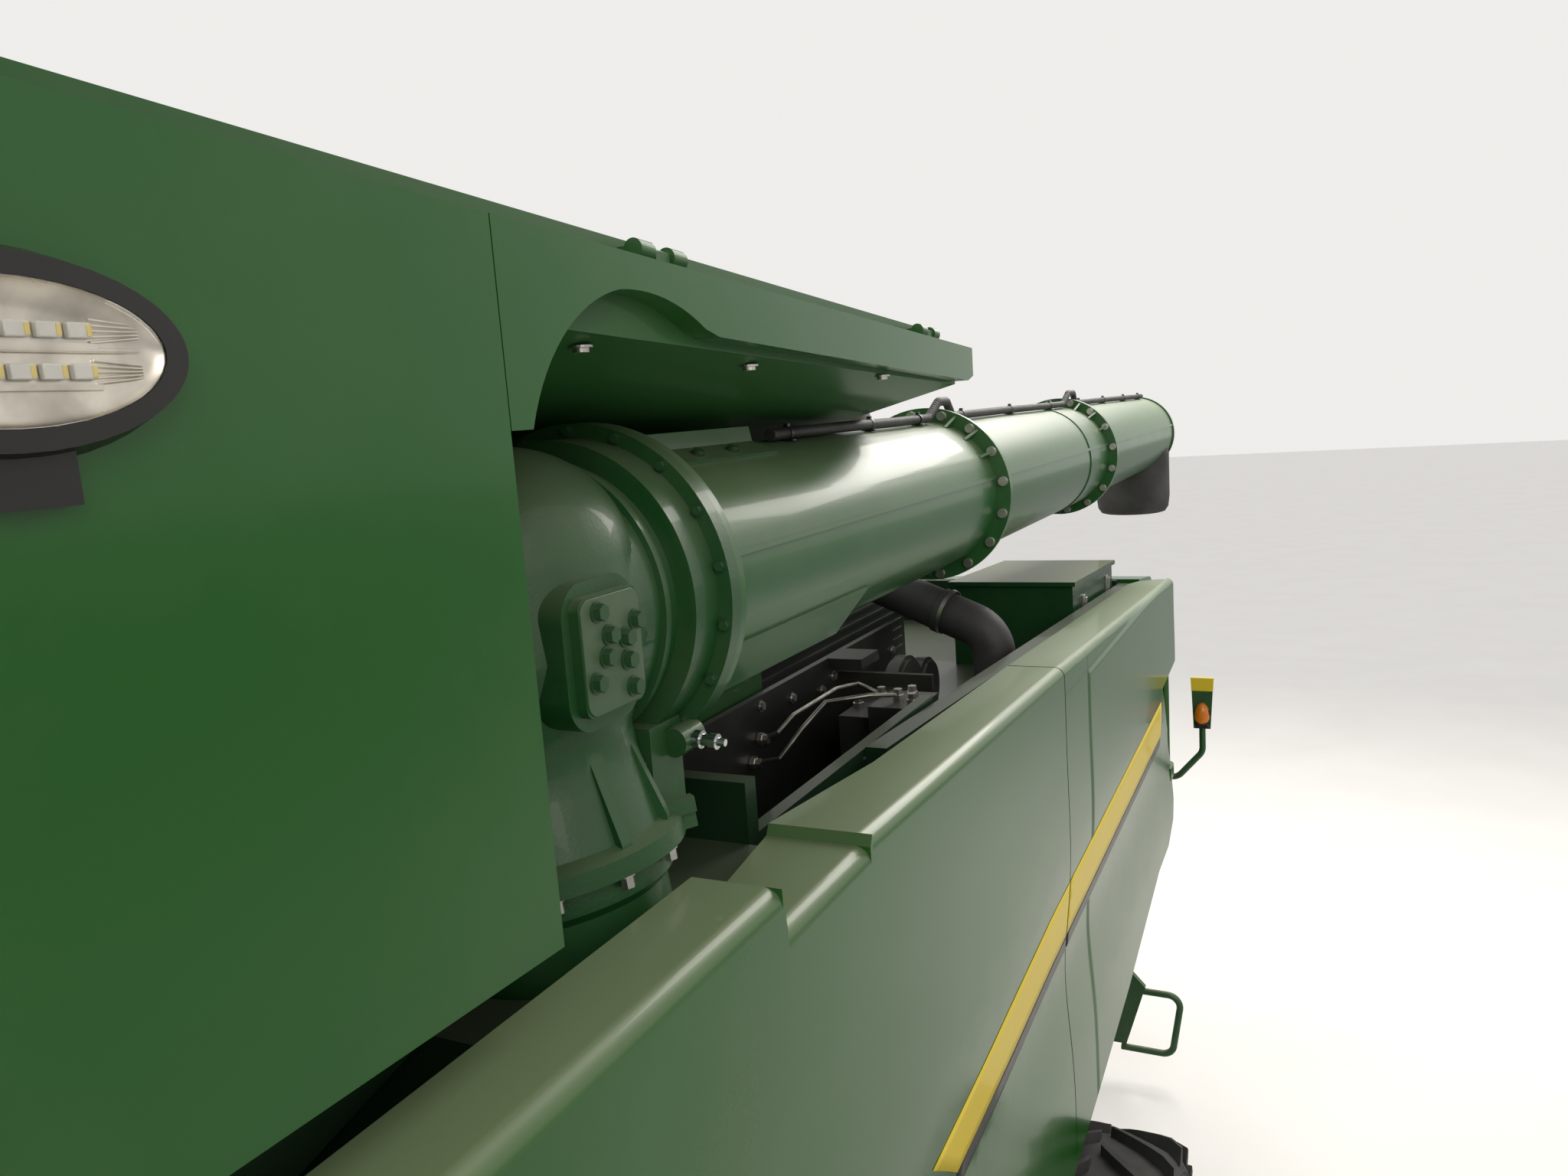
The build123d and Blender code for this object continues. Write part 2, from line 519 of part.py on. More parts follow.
channel_ends = [(-940, 3300), (-150, 3300), (-190, 3230), (-280, 3140), (-940, 3140)]
tube += along_y(channel, -940, 800) & along_x(channel_ends, 900, 600)
tube -= collar(FLANGE_YS[0] - 10, TUBE_END_Y - 6, TUBE_R - 6)
tube -= rod((TUBE_X, BOOT_Y, 3000), (TUBE_X, BOOT_Y, TUBE_Z), 158)
save("auger_tube", tube)

# Rubber boot that turns the grain down at the tube's end
boot_line = [(164, 2890), (186, 2896), (205, 2925), (213, 2990), (213, 3240), (196, 3320), (164, 3320)]
boot = Pos(TUBE_X, BOOT_Y, 0) * turned(boot_line)
boot -= collar(4300, LENGTH_HALF + 50, TUBE_R + 0.3)
boot -= collar(TUBE_END_Y - 24.3, TUBE_END_Y + 0.3, 228.3)
save("auger_boot", boot)

# Wiring harness clipped along the tube's top
HARNESS_R = 13
HARNESS_ON, HARNESS_OVER = (1208, 3588), (1217, 3634)
harness_stops = [
    (-340, HARNESS_ON), (60, HARNESS_ON), (420, (1212, 3587)), (700, HARNESS_ON), (772, HARNESS_OVER),
    (850, HARNESS_OVER), (930, HARNESS_ON), (1500, (1202, 3589)), (2080, HARNESS_ON), (2520, HARNESS_ON),
    (2590, HARNESS_OVER), (2690, HARNESS_OVER), (2770, HARNESS_ON), (3450, (1202, 3589)),
    (4100, HARNESS_ON), (4700, HARNESS_ON),
]
harness_route = [(x, y, z) for y, (x, z) in harness_stops]
harness_route[1] = (1204, 60, 3589)
harness_route[8] = (1212, 2080, 3588)
harness_bends = [60, 60, 40, 24, 24, 40, 60, 60, 40, 24, 24, 40, 60, 60]
path = FilletPolyline(*harness_route, radius=harness_bends)
harness = sweep(Plane(origin=path @ 0, z_dir=path % 0) * Circle(HARNESS_R), path=path)
save("auger_harness", harness)

# Base: the vertical auger's casing, its turntable flange and its body bracket
ring_top = BASE_LOW - 2
casing_half = [(0, -1250), (174, -1250), (174, -425), (188, -411), (188, ring_top), (0, ring_top)]
base = swivel * turned(casing_half)
base += block((BODY_HALF, -1350, 2150), (1250, -1050, 2420))
save("auger_base", base)

# Side shields: a bent sheet with a ledge along its top and a handhold recess
BROW_X, BROW_R = 1588, 30
skin = [(BROW_X, 2620), (1590, 2440), (1586, 2230), (1562, 1940), (1576, 1670), (1584, 1200)]
inner_edge = [
    (1440, -2480), (1440, -1160), (1392, -830), (1425, -400),
    (1425, 2780), (1455, 2900), (1520, 2975), (1560, 2990), (1560, 3100),
]
ledge_top = [
    (-2480, 2970), (-1160, 2970), (-1150, 2904), (-830, 2904), (-820, 2923), (670, 2861), (3060, 2739),
]
shield_foot = [(2960, 1575), (2780, 1510), (2470, 1510), (1634, 1385), (665, 1300), (-1259, 1300)]
rear_edge = [
    (3060, 2345), (3007, 2338), (2610, 2310), (2760, 2160), (2900, 2040), (3012, 1850), (3015, 1660),
]


def skin_solid(shift, y_low, length):
    """The room inboard of the shield's bulged skin, moved in by a shift."""
    points = [(x - shift, z) for x, z in skin]
    curve = Spline(*points, tangents=[(0, -1), (0.03, -1)])
    back = Polyline(points[-1], (1150, 1200), (1150, 3050), (BROW_X - shift, 3050), points[0])
    return Pos(0, y_low + length, 0) * extrude(Plane.XZ * make_face([curve, *back.edges()]), amount=length)


def brow_cut(start, end):
    """What rounds the corner between ledge and skin along one straight run."""
    (y, z), inner_x = start, BROW_X - BROW_R
    above = Polyline((BROW_X + 5, z + 5), (inner_x, z + 5), (inner_x, z))
    bow = ThreePointArc((inner_x, z), (BROW_X - 0.293 * BROW_R, z - 0.293 * BROW_R), (BROW_X, z - BROW_R))
    beside = Polyline((BROW_X, z - BROW_R), (BROW_X + 5, z - BROW_R), (BROW_X + 5, z + 5))
    run = Vector(0, end[0] - y, end[1] - z)
    section = Plane.XZ.offset(-y) * make_face([*above.edges(), bow, *beside.edges()])
    return extrude(section, amount=run.length, dir=run)


def shield(y_low, y_high):
    """One shield: its skin and ledge are a sheet of even thickness."""
    thick = SHIELD_THICK
    side = [*ledge_top, *rear_edge, *shield_foot, (-2480, 1300)]
    side_in = [(y, z - thick) for y, z in ledge_top] + [(3060, 1000), (-2480, 1000)]
    outer = skin_solid(0, y_low, y_high - y_low) & along_x(side, 1160, 540)
    for start, end in (ledge_top[0:2], ledge_top[2:4], ledge_top[4:6], ledge_top[5:7]):
        outer -= brow_cut(start, end)
    inner = skin_solid(thick, y_low - 10, y_high - y_low + 20) & along_x(side_in, 1100, 600)
    inboard = along_z([*inner_edge, (1000, 3100), (1000, -2480)], 1000, 2200)
    arch_ends = [(x, FRONT_AXLE_Y, FRONT_TYRE_R) for x in (1200, 1700)]
    wheel_arch = rod(*arch_ends, FRONT_TYRE_R + 130)
    return outer - inner - inboard - wheel_arch


shields = (
    ("shield_front", SHIELD_FRONT_Y, SHIELD_SEAM_Y - 4, HINGE_FRONT_Y, (2280, 2840)),
    ("shield_rear", SHIELD_SEAM_Y + 4, SHIELD_REAR_Y, HINGE_REAR_Y, (1760, 2580)),
)
for name, y_low, y_high, hinge_y, heights in shields:
    piece = shield(y_low, y_high)
    edge_y = y_low if hinge_y < y_low else y_high
    inward = 40 if hinge_y < y_low else -60
    for z in heights:
        y_near, y_far = sorted((hinge_y, edge_y + inward))
        piece += block((HINGE_X - 10, y_near, z), (1572, y_far, z + 60))
        piece += rod((HINGE_X, hinge_y, z), (HINGE_X, hinge_y, z + 60), 34)
        piece -= rod((HINGE_X, hinge_y, z - 5), (HINGE_X, hinge_y, z + 65), HINGE_R + RUN_GAP)
    save_sides(name, piece)

# Engine deck with its rear wall and the raised deck boxes beside the auger
deck = block((-1340, 230, BODY_TOP_Z), (1340, 2980, BODY_TOP_Z + 50))
deck += block((-1340, 2950, BODY_TOP_Z), (1340, 2980, 2740))
deck += block((880, -800, 2480), (1340, 235, 2510))
deck += block((880, -800, 2500), (1340, -760, 2985))
deck += block((1310, -780, 2500), (1340, 235, 2880))
RAIL_TOP = [(-260, 2890), (2960, 2726), (2960, 2690), (-260, 2850)]
rail_strip = along_x(RAIL_TOP, 1350, 50)
rail_strip += block((1300, 2940, 2520), (1400, 2975, 2715))
deck += rail_strip + other_side(rail_strip)
deck += block((1310, -255, 2500), (1400, -215, 2860))
deck += block((-1400, -255, 2500), (-1310, -215, 2860)) + block((-1400, -255, 2480), (-1310, 240, 2530))
low_deck = block((880, -1500, 2850), (1380, -800, 2870))
low_deck += block((880, -1500, 2500), (1340, -1480, 2870))
deck += low_deck - rod((1229, SWIVEL_Y, 2700), (1229, SWIVEL_Y, 3000), 200)
save("engine_deck", deck)

# Engine mass, its air cleaner can, exhaust stack and belt drive
engine = block((-560, 700, BODY_TOP_Z + 50), (560, 2150, 3080))
engine += block((-300, 780, 3080), (300, 2070, 3230))
save("engine_block", engine)
can_half = [(0, 3080), (60, 3080), (60, 3330), (135, 3350), (135, 3560), (120, 3610), (70, 3640), (0, 3650)]
can = Pos(470, 1780, 0) * turned(can_half)
stack = pipe([(-430, 1500, 3080), (-430, 1500, 3500), (-430, 1760, 3640)], 110, 62)
plate = block((880, -755, BODY_TOP_Z + 50), (900, 1120, 2890))
plate += block((895, 560, 2860), (1010, 700, 2890)) + block((895, 640, BODY_TOP_Z + 50), (1200, 660, 2830))
plate += block((1040, 300, BODY_TOP_Z + 50), (1130, 645, 2790))
plate += block((1150, 250, BODY_TOP_Z + 50), (1290, 430, 2835)) + block((1120, 350, 2600), (1160, 400, 2700))
for y, z, radius in ((820, 2712, 120), (1010, 2700, 85)):
    plate += rod((895, y, z), (1010, y, z), 26)
    plate += rod((1010, y, z), (1070, y, z), radius)
    plate += rod((1022, y, z), (1058, y, z), radius + 12)
save("engine_fittings", [can, stack, plate])

# Air cleaner box with its flat lid, and the hose that feeds the engine
DECK_Z = BODY_TOP_Z + 50
box_side = [(2030, DECK_Z), (2030, 2868), (2900, 2828), (2900, DECK_Z)]
air_box = along_x(box_side, 830, 500)
lid_side = [(2015, 2868), (2015, 2886), (2916, 2845), (2916, 2827)]
air_box += along_x(lid_side, 815, 528)
save("air_box", air_box)
HOSE_R = 72
hose_route = [(560, 1240, 3030), (760, 1240, 3030), (1240, 1180, 2850), (1240, 1180, DECK_Z)]
hose_path = FilletPolyline(*hose_route, radius=[150, 110])
hose = sweep(Plane(origin=hose_path @ 0, z_dir=hose_path % 0) * Circle(HOSE_R), path=hose_path)
clamp = hose_path.position_at(0.50)
clamp_way = hose_path.tangent_at(0.50)
hose += rod(clamp, clamp + clamp_way * 26, HOSE_R + 6)
hose += rod((1240, 1180, DECK_Z), (1240, 1180, 2680), HOSE_R + 24)
save("intake_hose", hose)

# Rear hood, chopper housing, spreader discs
hood_side = [
    (BODY_REAR_Y, 1500), (BODY_REAR_Y, 2740), (3350, 2700), (3600, 2500), (3700, 2200), (3700, 1700), (3560, 1500),
]
hood = along_x(hood_side, -1440, 2880)
hood = fillet(hood.edges().filter_by(Axis.X).sort_by(Axis.Z)[-3:-1], 110)
rear_post = rod((HINGE_X, HINGE_REAR_Y, 1720), (HINGE_X, HINGE_REAR_Y, 2700), HINGE_R)
for z in (1720, 2660):
    rear_post += block((1435, HINGE_REAR_Y - 20, z), (HINGE_X, HINGE_REAR_Y + 20, z + 34))
hood += rear_post + other_side(rear_post)
save("rear_hood", hood)
chopper_side = [(BODY_REAR_Y, 1000), (BODY_REAR_Y, 1500), (3560, 1500), (3700, 1180), (3600, 1000)]
chopper = along_x(chopper_side, -800, 1600)
tail_side = [(3650, 1170), (3692, 1200), (3960, 1092), (3954, 1078)]
chopper += along_x(tail_side, -760, 1520)
save("chopper_housing", chopper)
disc = turned([(0, 900), (330, 900), (330, 912), (60, 930), (60, 1000), (0, 1000)])
for k in range(4):
    disc += Rot(0, 0, 90 * k) * block((70, -6, 860), (320, 6, 902))
save_sides("spreader_disc", Pos(430, 3350, 0) * disc)

# Rear ladder under the hood and the marker lamps on their bent arms
LADDER_Y = 3230
hoop = [(1330, LADDER_Y, 512), (1572, LADDER_Y, 512), (1520, LADDER_Y, 178), (1262, LADDER_Y, 178)]
loop = pipe(hoop, 60, 17)
plate_side = [(1215, 640), (1300, 640), (1392, 540), (1290, 205), (1215, 205)]
loop += along_y(plate_side, LADDER_Y - 15, 30)
loop += block((1215, LADDER_Y - 25, 520), (1275, LADDER_Y + 25, 1500))
save("rear_ladder", loop)
LAMP_ARM_Y = 3225
lamp_arm = [
    (1440, LAMP_ARM_Y, 1700), (1570, LAMP_ARM_Y, 1700), (1690, LAMP_ARM_Y, 1840), (1690, LAMP_ARM_Y, 1975),
]
marker = pipe(lamp_arm, 60, 15)
plate_points = [(1650, 1960), (1728, 1960), (1744, 2215), (1640, 2215)]
marker += along_y(plate_points, LAMP_ARM_Y - 8, 16)
marker += rod((1690, LAMP_ARM_Y + 26, 2040), (1690, LAMP_ARM_Y - 26, 2040), 36)
save("marker_lamps", pair(marker))

# Cab shell with its windows and door opening cut
cab_side = [(-2480, FLOOR_Z - 30), (-2480, 3700), (-3900, 3700), (-4060, 2650), (-3940, FLOOR_Z - 30)]
inside = [(-2540, FLOOR_Z + 30), (-2540, 3640), (-3850, 3640), (-4000, 2650), (-3890, FLOOR_Z + 30)]
cab = along_x(cab_side, -CAB_HALF, 2 * CAB_HALF)
cab -= along_x(inside, -CAB_HALF + CAB_WALL, 2 * (CAB_HALF - CAB_WALL))
DOOR = [(-2760, FLOOR_Z + 40), (-2760, 3600), (-3600, 3600), (-3660, 2650), (-3600, FLOOR_Z + 40)]
SIDE_WINDOW = [(-2760, 2650), (-2760, 3560), (-3740, 3560), (-3880, 2650)]
cab -= along_x(DOOR, CAB_HALF - CAB_WALL - 10, CAB_WALL + 20)
cab -= along_x(SIDE_WINDOW, -CAB_HALF - 10, CAB_WALL + 20)
cab -= block((-760, -4200, 2230), (760, -3800, 3560))
cab -= block((-700, -2600, 2900), (700, -2400, 3560))
save("cab_shell", cab)

# Cab door on its hinges, its glass and the fixed panes
DOOR_HINGE = (896, -2748)
door_in = [(-2766, FLOOR_Z + 46), (-2766, 3594), (-3594, 3594), (-3652, 2650), (-3594, FLOOR_Z + 46)]
door_hole = [(-2850, FLOOR_Z + 140), (-2850, 3520), (-3530, 3520), (-3575, 2650), (-3530, FLOOR_Z + 140)]
door = along_x(door_in, CAB_HALF - 40, 40) - along_x(door_hole, CAB_HALF - 60, 80)
for z in (2400, 3300):
    door += rod((*DOOR_HINGE, z), (*DOOR_HINGE, z + 60), 12)
    door += block((880, -2790, z), (898, -2748, z + 60))
for z in (2640, 2840):
    door += block((CAB_HALF, -3560, z), (CAB_HALF + 34, -3540, z + 20))
door += block((CAB_HALF + 22, -3562, 2640), (CAB_HALF + 36, -3538, 2860))
save("cab_door", door)
save("door_glass", along_x(door_hole, CAB_HALF - 26, 12))
windshield = [(-3968, 2230), (-4060, 2650), (-3921, 3560), (-3911, 3560), (-4050, 2650), (-3958, 2230)]
panes = [
    along_x(windshield, -760, 1520),
    along_x(SIDE_WINDOW, -CAB_HALF + 20, 10),
    block((-700, -2515, 2900), (700, -2505, 3560)),
]
save("cab_glass", panes)

# Cab roof with its front row of work lamp housings
roof_side = [
    (-2420, 3700), (-2420, 3840), (-2520, 3880), (-3980, 3880), (-4130, 3830), (-4180, 3740), (-4180, 3700),
]
roof = along_x(roof_side, -960, 1920)
roof = fillet(roof.edges().filter_by(Axis.X).filter_by_position(Axis.Z, 3800, 3900), 40)
for x in (-820, -640, 640, 820):
    roof += rod((x, -4120, 3762), (x, -4196, 3762), 52)
save("cab_roof", roof)

# Seat, steering column with its wheel, and the cab's support beams
seat = rounded_block((-260, -3300, FLOOR_Z + 200), (260, -2800, 2560), 40)
seat += rounded_block((-260, -2900, 2480), (260, -2780, 3200), 40)
seat += block((-180, -3240, FLOOR_Z + 30), (180, -2860, FLOOR_Z + 220))
save("cab_seat", seat)
console = block((-90, -3760, FLOOR_Z + 30), (90, -3560, 2600))
column_low, column_high = (0, -3640, 2560), (0, -3552, 2962)
console += rod(column_low, column_high, 34)
wheel = Pos(0, -3550, 2970) * Rot(-16, 0, 0)
console += wheel * (Cylinder(200, 24) - Cylinder(172, 30)) + wheel * block((-180, -14, -8), (180, 14, 8))
console += wheel * Cylinder(46, 30)
save("steering_console", console)
subframe = block((-700, -3640, 2010), (1880, -3560, FLOOR_Z - 30))
for side in (-1, 1):
    subframe += block((side * 660 - 40, -3880, 2010), (side * 660 + 40, BODY_FRONT_Y, FLOOR_Z - 30))
save("cab_subframe", subframe)

# Landing with its handrails, and the ladder that swings about an upright pin
LADDER_PIN = (1480, -3700)
RAIL_OUT_X, HANDRAIL_R = 1875, 18
landing = block((CAB_HALF + 6, -3640, FLOOR_Z - 30), (1900, -2440, FLOOR_Z))
for z in (1900, 2060):
    ear = block((1440, -3740, z), (1520, -3640, z + 20)) + block((1440, -3660, z), (1520, -3640, FLOOR_Z))
    landing += ear - rod((*LADDER_PIN, z - 5), (*LADDER_PIN, z + 25), 18 + RUN_GAP)
rail_route = [
    (RAIL_OUT_X, -3560, FLOOR_Z), (RAIL_OUT_X, -3560, 3130), (RAIL_OUT_X, -2480, 3130), (RAIL_OUT_X, -2480, FLOOR_Z),
]
landing += pipe(rail_route, 140, HANDRAIL_R)
landing += rod((RAIL_OUT_X, -3560, 2620), (RAIL_OUT_X, -2480, 2620), HANDRAIL_R - 3)
landing += pipe([(1460, -2480, FLOOR_Z), (1460, -2480, 2980), (RAIL_OUT_X, -2480, 2980)], 120, HANDRAIL_R)
save("landing", landing)
ladder = block((1530, -3880, 400), (1556, -3740, 2090)) + block((1900, -3880, 400), (1926, -3740, 2090))
for step in range(5):
    z = 420 + 380 * step
    ladder += block((1540, -3880, z), (1910, -3740, z + 30))
    ladder -= block((1570, -3860, z - 5), (1886, -3760, z + 22))
ladder += rod((*LADDER_PIN, 1880), (*LADDER_PIN, 2096), 18)
ladder += block((1480, -3765, 1925), (1545, -3740, 2055)) + block((1480, -3760, 1925), (1496, -3700, 2055))
save("ladder", ladder)

# Mirrors on arms from the roof
mirror_arm = pipe([(960, -4060, 3790), (1990, -4060, 3790), (2040, -4120, 3740), (2040, -4120, 3560)], 30, 18)
mirror_arm += rounded_block((MIRROR_REACH - 230, -4180, 3150), (MIRROR_REACH, -4120, 3600), 20)
save("mirrors", pair(mirror_arm))
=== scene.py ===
import json
from math import acos, atan2, cos, pi, radians, sin

import bmesh
import bpy
from mathutils import Matrix, Vector
from mathutils.bvhtree import BVHTree

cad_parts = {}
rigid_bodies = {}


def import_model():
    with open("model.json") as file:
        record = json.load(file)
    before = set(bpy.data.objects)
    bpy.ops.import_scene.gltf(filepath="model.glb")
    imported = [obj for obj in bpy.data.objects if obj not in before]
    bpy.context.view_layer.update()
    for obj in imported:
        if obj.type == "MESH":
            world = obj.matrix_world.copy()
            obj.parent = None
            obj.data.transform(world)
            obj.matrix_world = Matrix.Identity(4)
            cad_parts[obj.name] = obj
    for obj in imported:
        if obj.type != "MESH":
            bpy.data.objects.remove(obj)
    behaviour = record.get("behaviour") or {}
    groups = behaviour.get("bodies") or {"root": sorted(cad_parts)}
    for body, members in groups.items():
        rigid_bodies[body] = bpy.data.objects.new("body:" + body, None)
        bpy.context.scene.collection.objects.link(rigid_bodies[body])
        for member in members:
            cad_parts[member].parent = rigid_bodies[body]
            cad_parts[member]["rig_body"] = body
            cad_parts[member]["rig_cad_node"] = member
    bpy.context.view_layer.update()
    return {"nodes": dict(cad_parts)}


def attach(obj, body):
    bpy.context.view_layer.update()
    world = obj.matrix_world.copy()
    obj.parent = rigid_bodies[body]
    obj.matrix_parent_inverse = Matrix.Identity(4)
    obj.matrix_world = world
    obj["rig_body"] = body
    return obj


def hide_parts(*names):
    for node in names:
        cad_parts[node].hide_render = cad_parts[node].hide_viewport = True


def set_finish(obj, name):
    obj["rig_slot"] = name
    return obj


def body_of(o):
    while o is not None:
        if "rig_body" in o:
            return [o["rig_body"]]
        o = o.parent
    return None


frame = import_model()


# The camera stands beside the tank's front corner, just above the landing's
# handrail, and looks back along the left side of the machine.
def placed(name, data):
    """Puts a new object in the scene."""
    thing = bpy.data.objects.new(name, data)
    bpy.context.scene.collection.objects.link(thing)
    return thing


EYE = Vector((2.29, -2.50, 3.63))
EYE_RIGHT = Vector((0.89805, 0.43450, -0.06861))
EYE_UP = Vector((-0.00517, 0.16638, 0.98605))
EYE_AHEAD = Vector((-0.43986, 0.88517, -0.15166))
camera_data = bpy.data.cameras.new("camera")
camera_data.sensor_width, camera_data.lens = 36.0, 26.0
camera_data.clip_start, camera_data.clip_end = 0.05, 200.0
camera = placed("camera", camera_data)
eye_rows = [(*row, place) for *row, place in zip(EYE_RIGHT, EYE_UP, -EYE_AHEAD, EYE)]
camera.matrix_world = Matrix(eye_rows + [(0, 0, 0, 1)])
bpy.context.scene.camera = camera


# Floor and light: a pale swept floor under a bright, even ceiling. A large soft
# lamp hangs high behind the machine, and two weaker ones light its front left
# and its right side.
def feed(tree, node, inputs):
    """Sets a node's inputs by name: a node or a socket is linked, any other value is set."""
    for label, value in inputs.items():
        source = value.outputs[0] if isinstance(value, bpy.types.Node) else value
        if isinstance(source, bpy.types.NodeSocket):
            tree.links.new(source, node.inputs[label])
        else:
            node.inputs[label].default_value = source
    return node


def put(tree, kind, inputs={}, **settings):
    """Adds a node to a tree with its settings and inputs."""
    node = tree.nodes.new(kind)
    for label, value in settings.items():
        setattr(node, label, value)
    return feed(tree, node, inputs)


def finished(name):
    """A new material, with its tree and its main shader."""
    finish = bpy.data.materials.new(name)
    finish.use_nodes = True
    return finish, finish.node_tree, finish.node_tree.nodes["Principled BSDF"]


def worked(tree, operation, *values, **settings):
    """The result of a sum on sockets and numbers."""
    return put(tree, "ShaderNodeMath", dict(enumerate(values)), operation=operation, **settings)


def mottled(tree, scale, detail=2.0, roughness=0.5):
    """Cloudy noise on the piece's own coordinates."""
    spot = put(tree, "ShaderNodeTexCoord").outputs["Object"]
    noise = {"Vector": spot, "Scale": scale, "Detail": detail, "Roughness": roughness}
    return put(tree, "ShaderNodeTexNoise", noise)


def ramped(tree, amount, low, high, start=0.0, end=1.0):
    """A blend from one colour to another over a range of an amount."""
    ramp = put(tree, "ShaderNodeValToRGB", {"Fac": amount})
    for stop, colour, place in zip(ramp.color_ramp.elements, (low, high), (start, end)):
        stop.color, stop.position = (*colour, 1), place
    return ramp


FLOOR_HALF = 60
floor_mesh = bpy.data.meshes.new("shop_floor")
floor_corners = [(x * FLOOR_HALF, y * FLOOR_HALF, 0) for x, y in ((-1, -1), (1, -1), (1, 1), (-1, 1))]
floor_mesh.from_pydata(floor_corners, [], [(0, 1, 2, 3)])
floor = placed("shop_floor", floor_mesh)
pale, tree, body = finished("pale_floor")
seen_lift = worked(tree, "MULTIPLY", put(tree, "ShaderNodeLightPath").outputs["Is Camera Ray"], 0.36)
feed(tree, body, {
    "Base Color": ramped(tree, mottled(tree, 1.4, 8.0), (0.62, 0.60, 0.57), (0.74, 0.72, 0.69)), "Roughness": 0.75,
    "Emission Strength": seen_lift, "Emission Color": (0.86, 0.84, 0.80, 1)})
floor_mesh.materials.append(pale)
for name, place, aim, size, watts in (
    ("ceiling_lamp", (2.2, 6.6, 7.4), (1.1, 1.2, 3.2), 4.5, 520),
    ("front_lamp", (7.0, -7.0, 7.5), (1.0, -1.0, 2.0), 6.0, 300),
    ("right_lamp", (-8.0, 1.0, 7.0), (0.0, 0.0, 2.0), 6.0, 380),
):
    lamp_data = bpy.data.lights.new(name, "AREA")
    lamp_data.energy, lamp_data.size = watts, size
    lamp_data.color = (1.0, 0.96, 0.90)
    lamp = placed(name, lamp_data)
    lamp.location = place
    lamp.rotation_euler = (Vector(aim) - Vector(place)).to_track_quat("-Z", "Y").to_euler()
world = bpy.data.worlds.new("bright_shop")
world.use_nodes = True
sky = world.node_tree
lit = feed(sky, sky.nodes["Background"], {"Color": (0.90, 0.91, 0.93, 1), "Strength": 0.55})
seen = put(sky, "ShaderNodeBackground", {"Color": (0.86, 0.85, 0.83, 1), "Strength": 1.0})
rays = put(sky, "ShaderNodeLightPath").outputs
direct = worked(sky, "MAXIMUM", rays["Is Camera Ray"], rays["Is Transmission Ray"])
choice = put(sky, "ShaderNodeMixShader", {
    "Fac": worked(sky, "MAXIMUM", direct, rays["Is Glossy Ray"]),
    1: lit, 2: seen})
feed(sky, sky.nodes["World Output"], {"Surface": choice})
bpy.context.scene.world = world
bpy.context.scene.view_settings.view_transform = "Standard"


# Tank side panels: smooth sheet steel sprayed with deep green gloss enamel.
# The long left panel stands nearest the camera; dust dulls it in soft patches.
def enamel(name, colour, roughness=0.24, dust=0.30, peel=0.05, upward_share=0.35, patch=0.5):
    """Sprayed gloss paint with faint orange peel; paler, greyer and rougher in soft dust patches and on upward-facing
    surfaces.
    """
    soil = (0.160, 0.150, 0.105)
    paint, tree, coat = finished(name)
    patches = ramped(tree, mottled(tree, 2.2, 7.0, 0.62), (0, 0, 0), [patch] * 3, 0.42, 0.72)
    # Upward-facing surfaces turn paler, greyer and rougher the more they face up.
    upward = put(tree, "ShaderNodeSeparateXYZ", {"Vector": put(tree, "ShaderNodeNewGeometry").outputs["Normal"]})
    upward_and_patches = worked(tree, "MULTIPLY_ADD", upward.outputs["Z"], upward_share, patches, use_clamp=True)
    amount = worked(tree, "MULTIPLY", upward_and_patches, dust)
    tint = put(tree, "ShaderNodeMix", {
        "Factor": amount, "A": (*colour, 1), "B": (*[0.6 * part + grey for part, grey in zip(colour, soil)], 1),
    }, data_type="RGBA")
    dull = put(tree, "ShaderNodeMapRange", {"Value": amount, "To Min": roughness, "To Max": roughness + 0.28})
    skin = put(tree, "ShaderNodeBump", {"Height": mottled(tree, 190.0, 1.0), "Strength": peel, "Distance": 0.0006})
    feed(tree, coat, {
        "Base Color": tint.outputs["Result"], "Roughness": dull, "Normal": skin,
        "Coat Weight": 0.15, "Coat Roughness": 0.06, "IOR": 1.5, "Specular IOR Level": 0.36})
    return paint


def plain(piece):
    """Turns a piece's modifiers into plain mesh."""
    bpy.context.view_layer.update()
    graph = bpy.context.evaluated_depsgraph_get()
    mesh = bpy.data.meshes.new_from_object(piece.evaluated_get(graph), preserve_all_data_layers=True, depsgraph=graph)
    piece.modifiers.clear()
    piece.data = mesh


def evened(piece):
    """Evens the shading of flat faces beside softened edges."""
    piece.modifiers.new("even_shading", "WEIGHTED_NORMAL").keep_sharp = True
    plain(piece)


def shaded(shape, crease):
    """Shades a shape smooth, but keeps edges that turn more than the crease angle."""
    for face in shape.faces:
        face.smooth, face.material_index = True, 0
    for edge in shape.edges:
        edge.smooth = edge.calc_face_angle(pi) < radians(crease)


def welded(node, finish, crease=32):
    """A CAD piece with its seams closed and its rounded faces shaded smooth."""
    source = frame["nodes"][node]
    mesh = source.data.copy()
    mesh.materials.clear()
    mesh.materials.append(finish)
    sheet = bmesh.new()
    sheet.from_mesh(mesh)
    bmesh.ops.remove_doubles(sheet, verts=sheet.verts, dist=2e-5)
    shaded(sheet, crease)
    sheet.to_mesh(mesh)
    sheet.free()
    piece = placed(node + "_skin", mesh)
    evened(piece)
    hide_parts(node)
    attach(piece, body_of(source)[0])
    return piece


def painted(node, finish):
    """A flat-sided CAD piece keeps its mesh and takes the finish."""
    mesh = frame["nodes"][node].data
    mesh.materials.clear()
    mesh.materials.append(finish)


GREEN = (0.011, 0.096, 0.010)
green = enamel("panel_green", GREEN, roughness=0.20, dust=0.16)
for node in ("tank_panel_left", "tank_panel_right"):
    painted(node, green)
welded("tank_band_left", green)

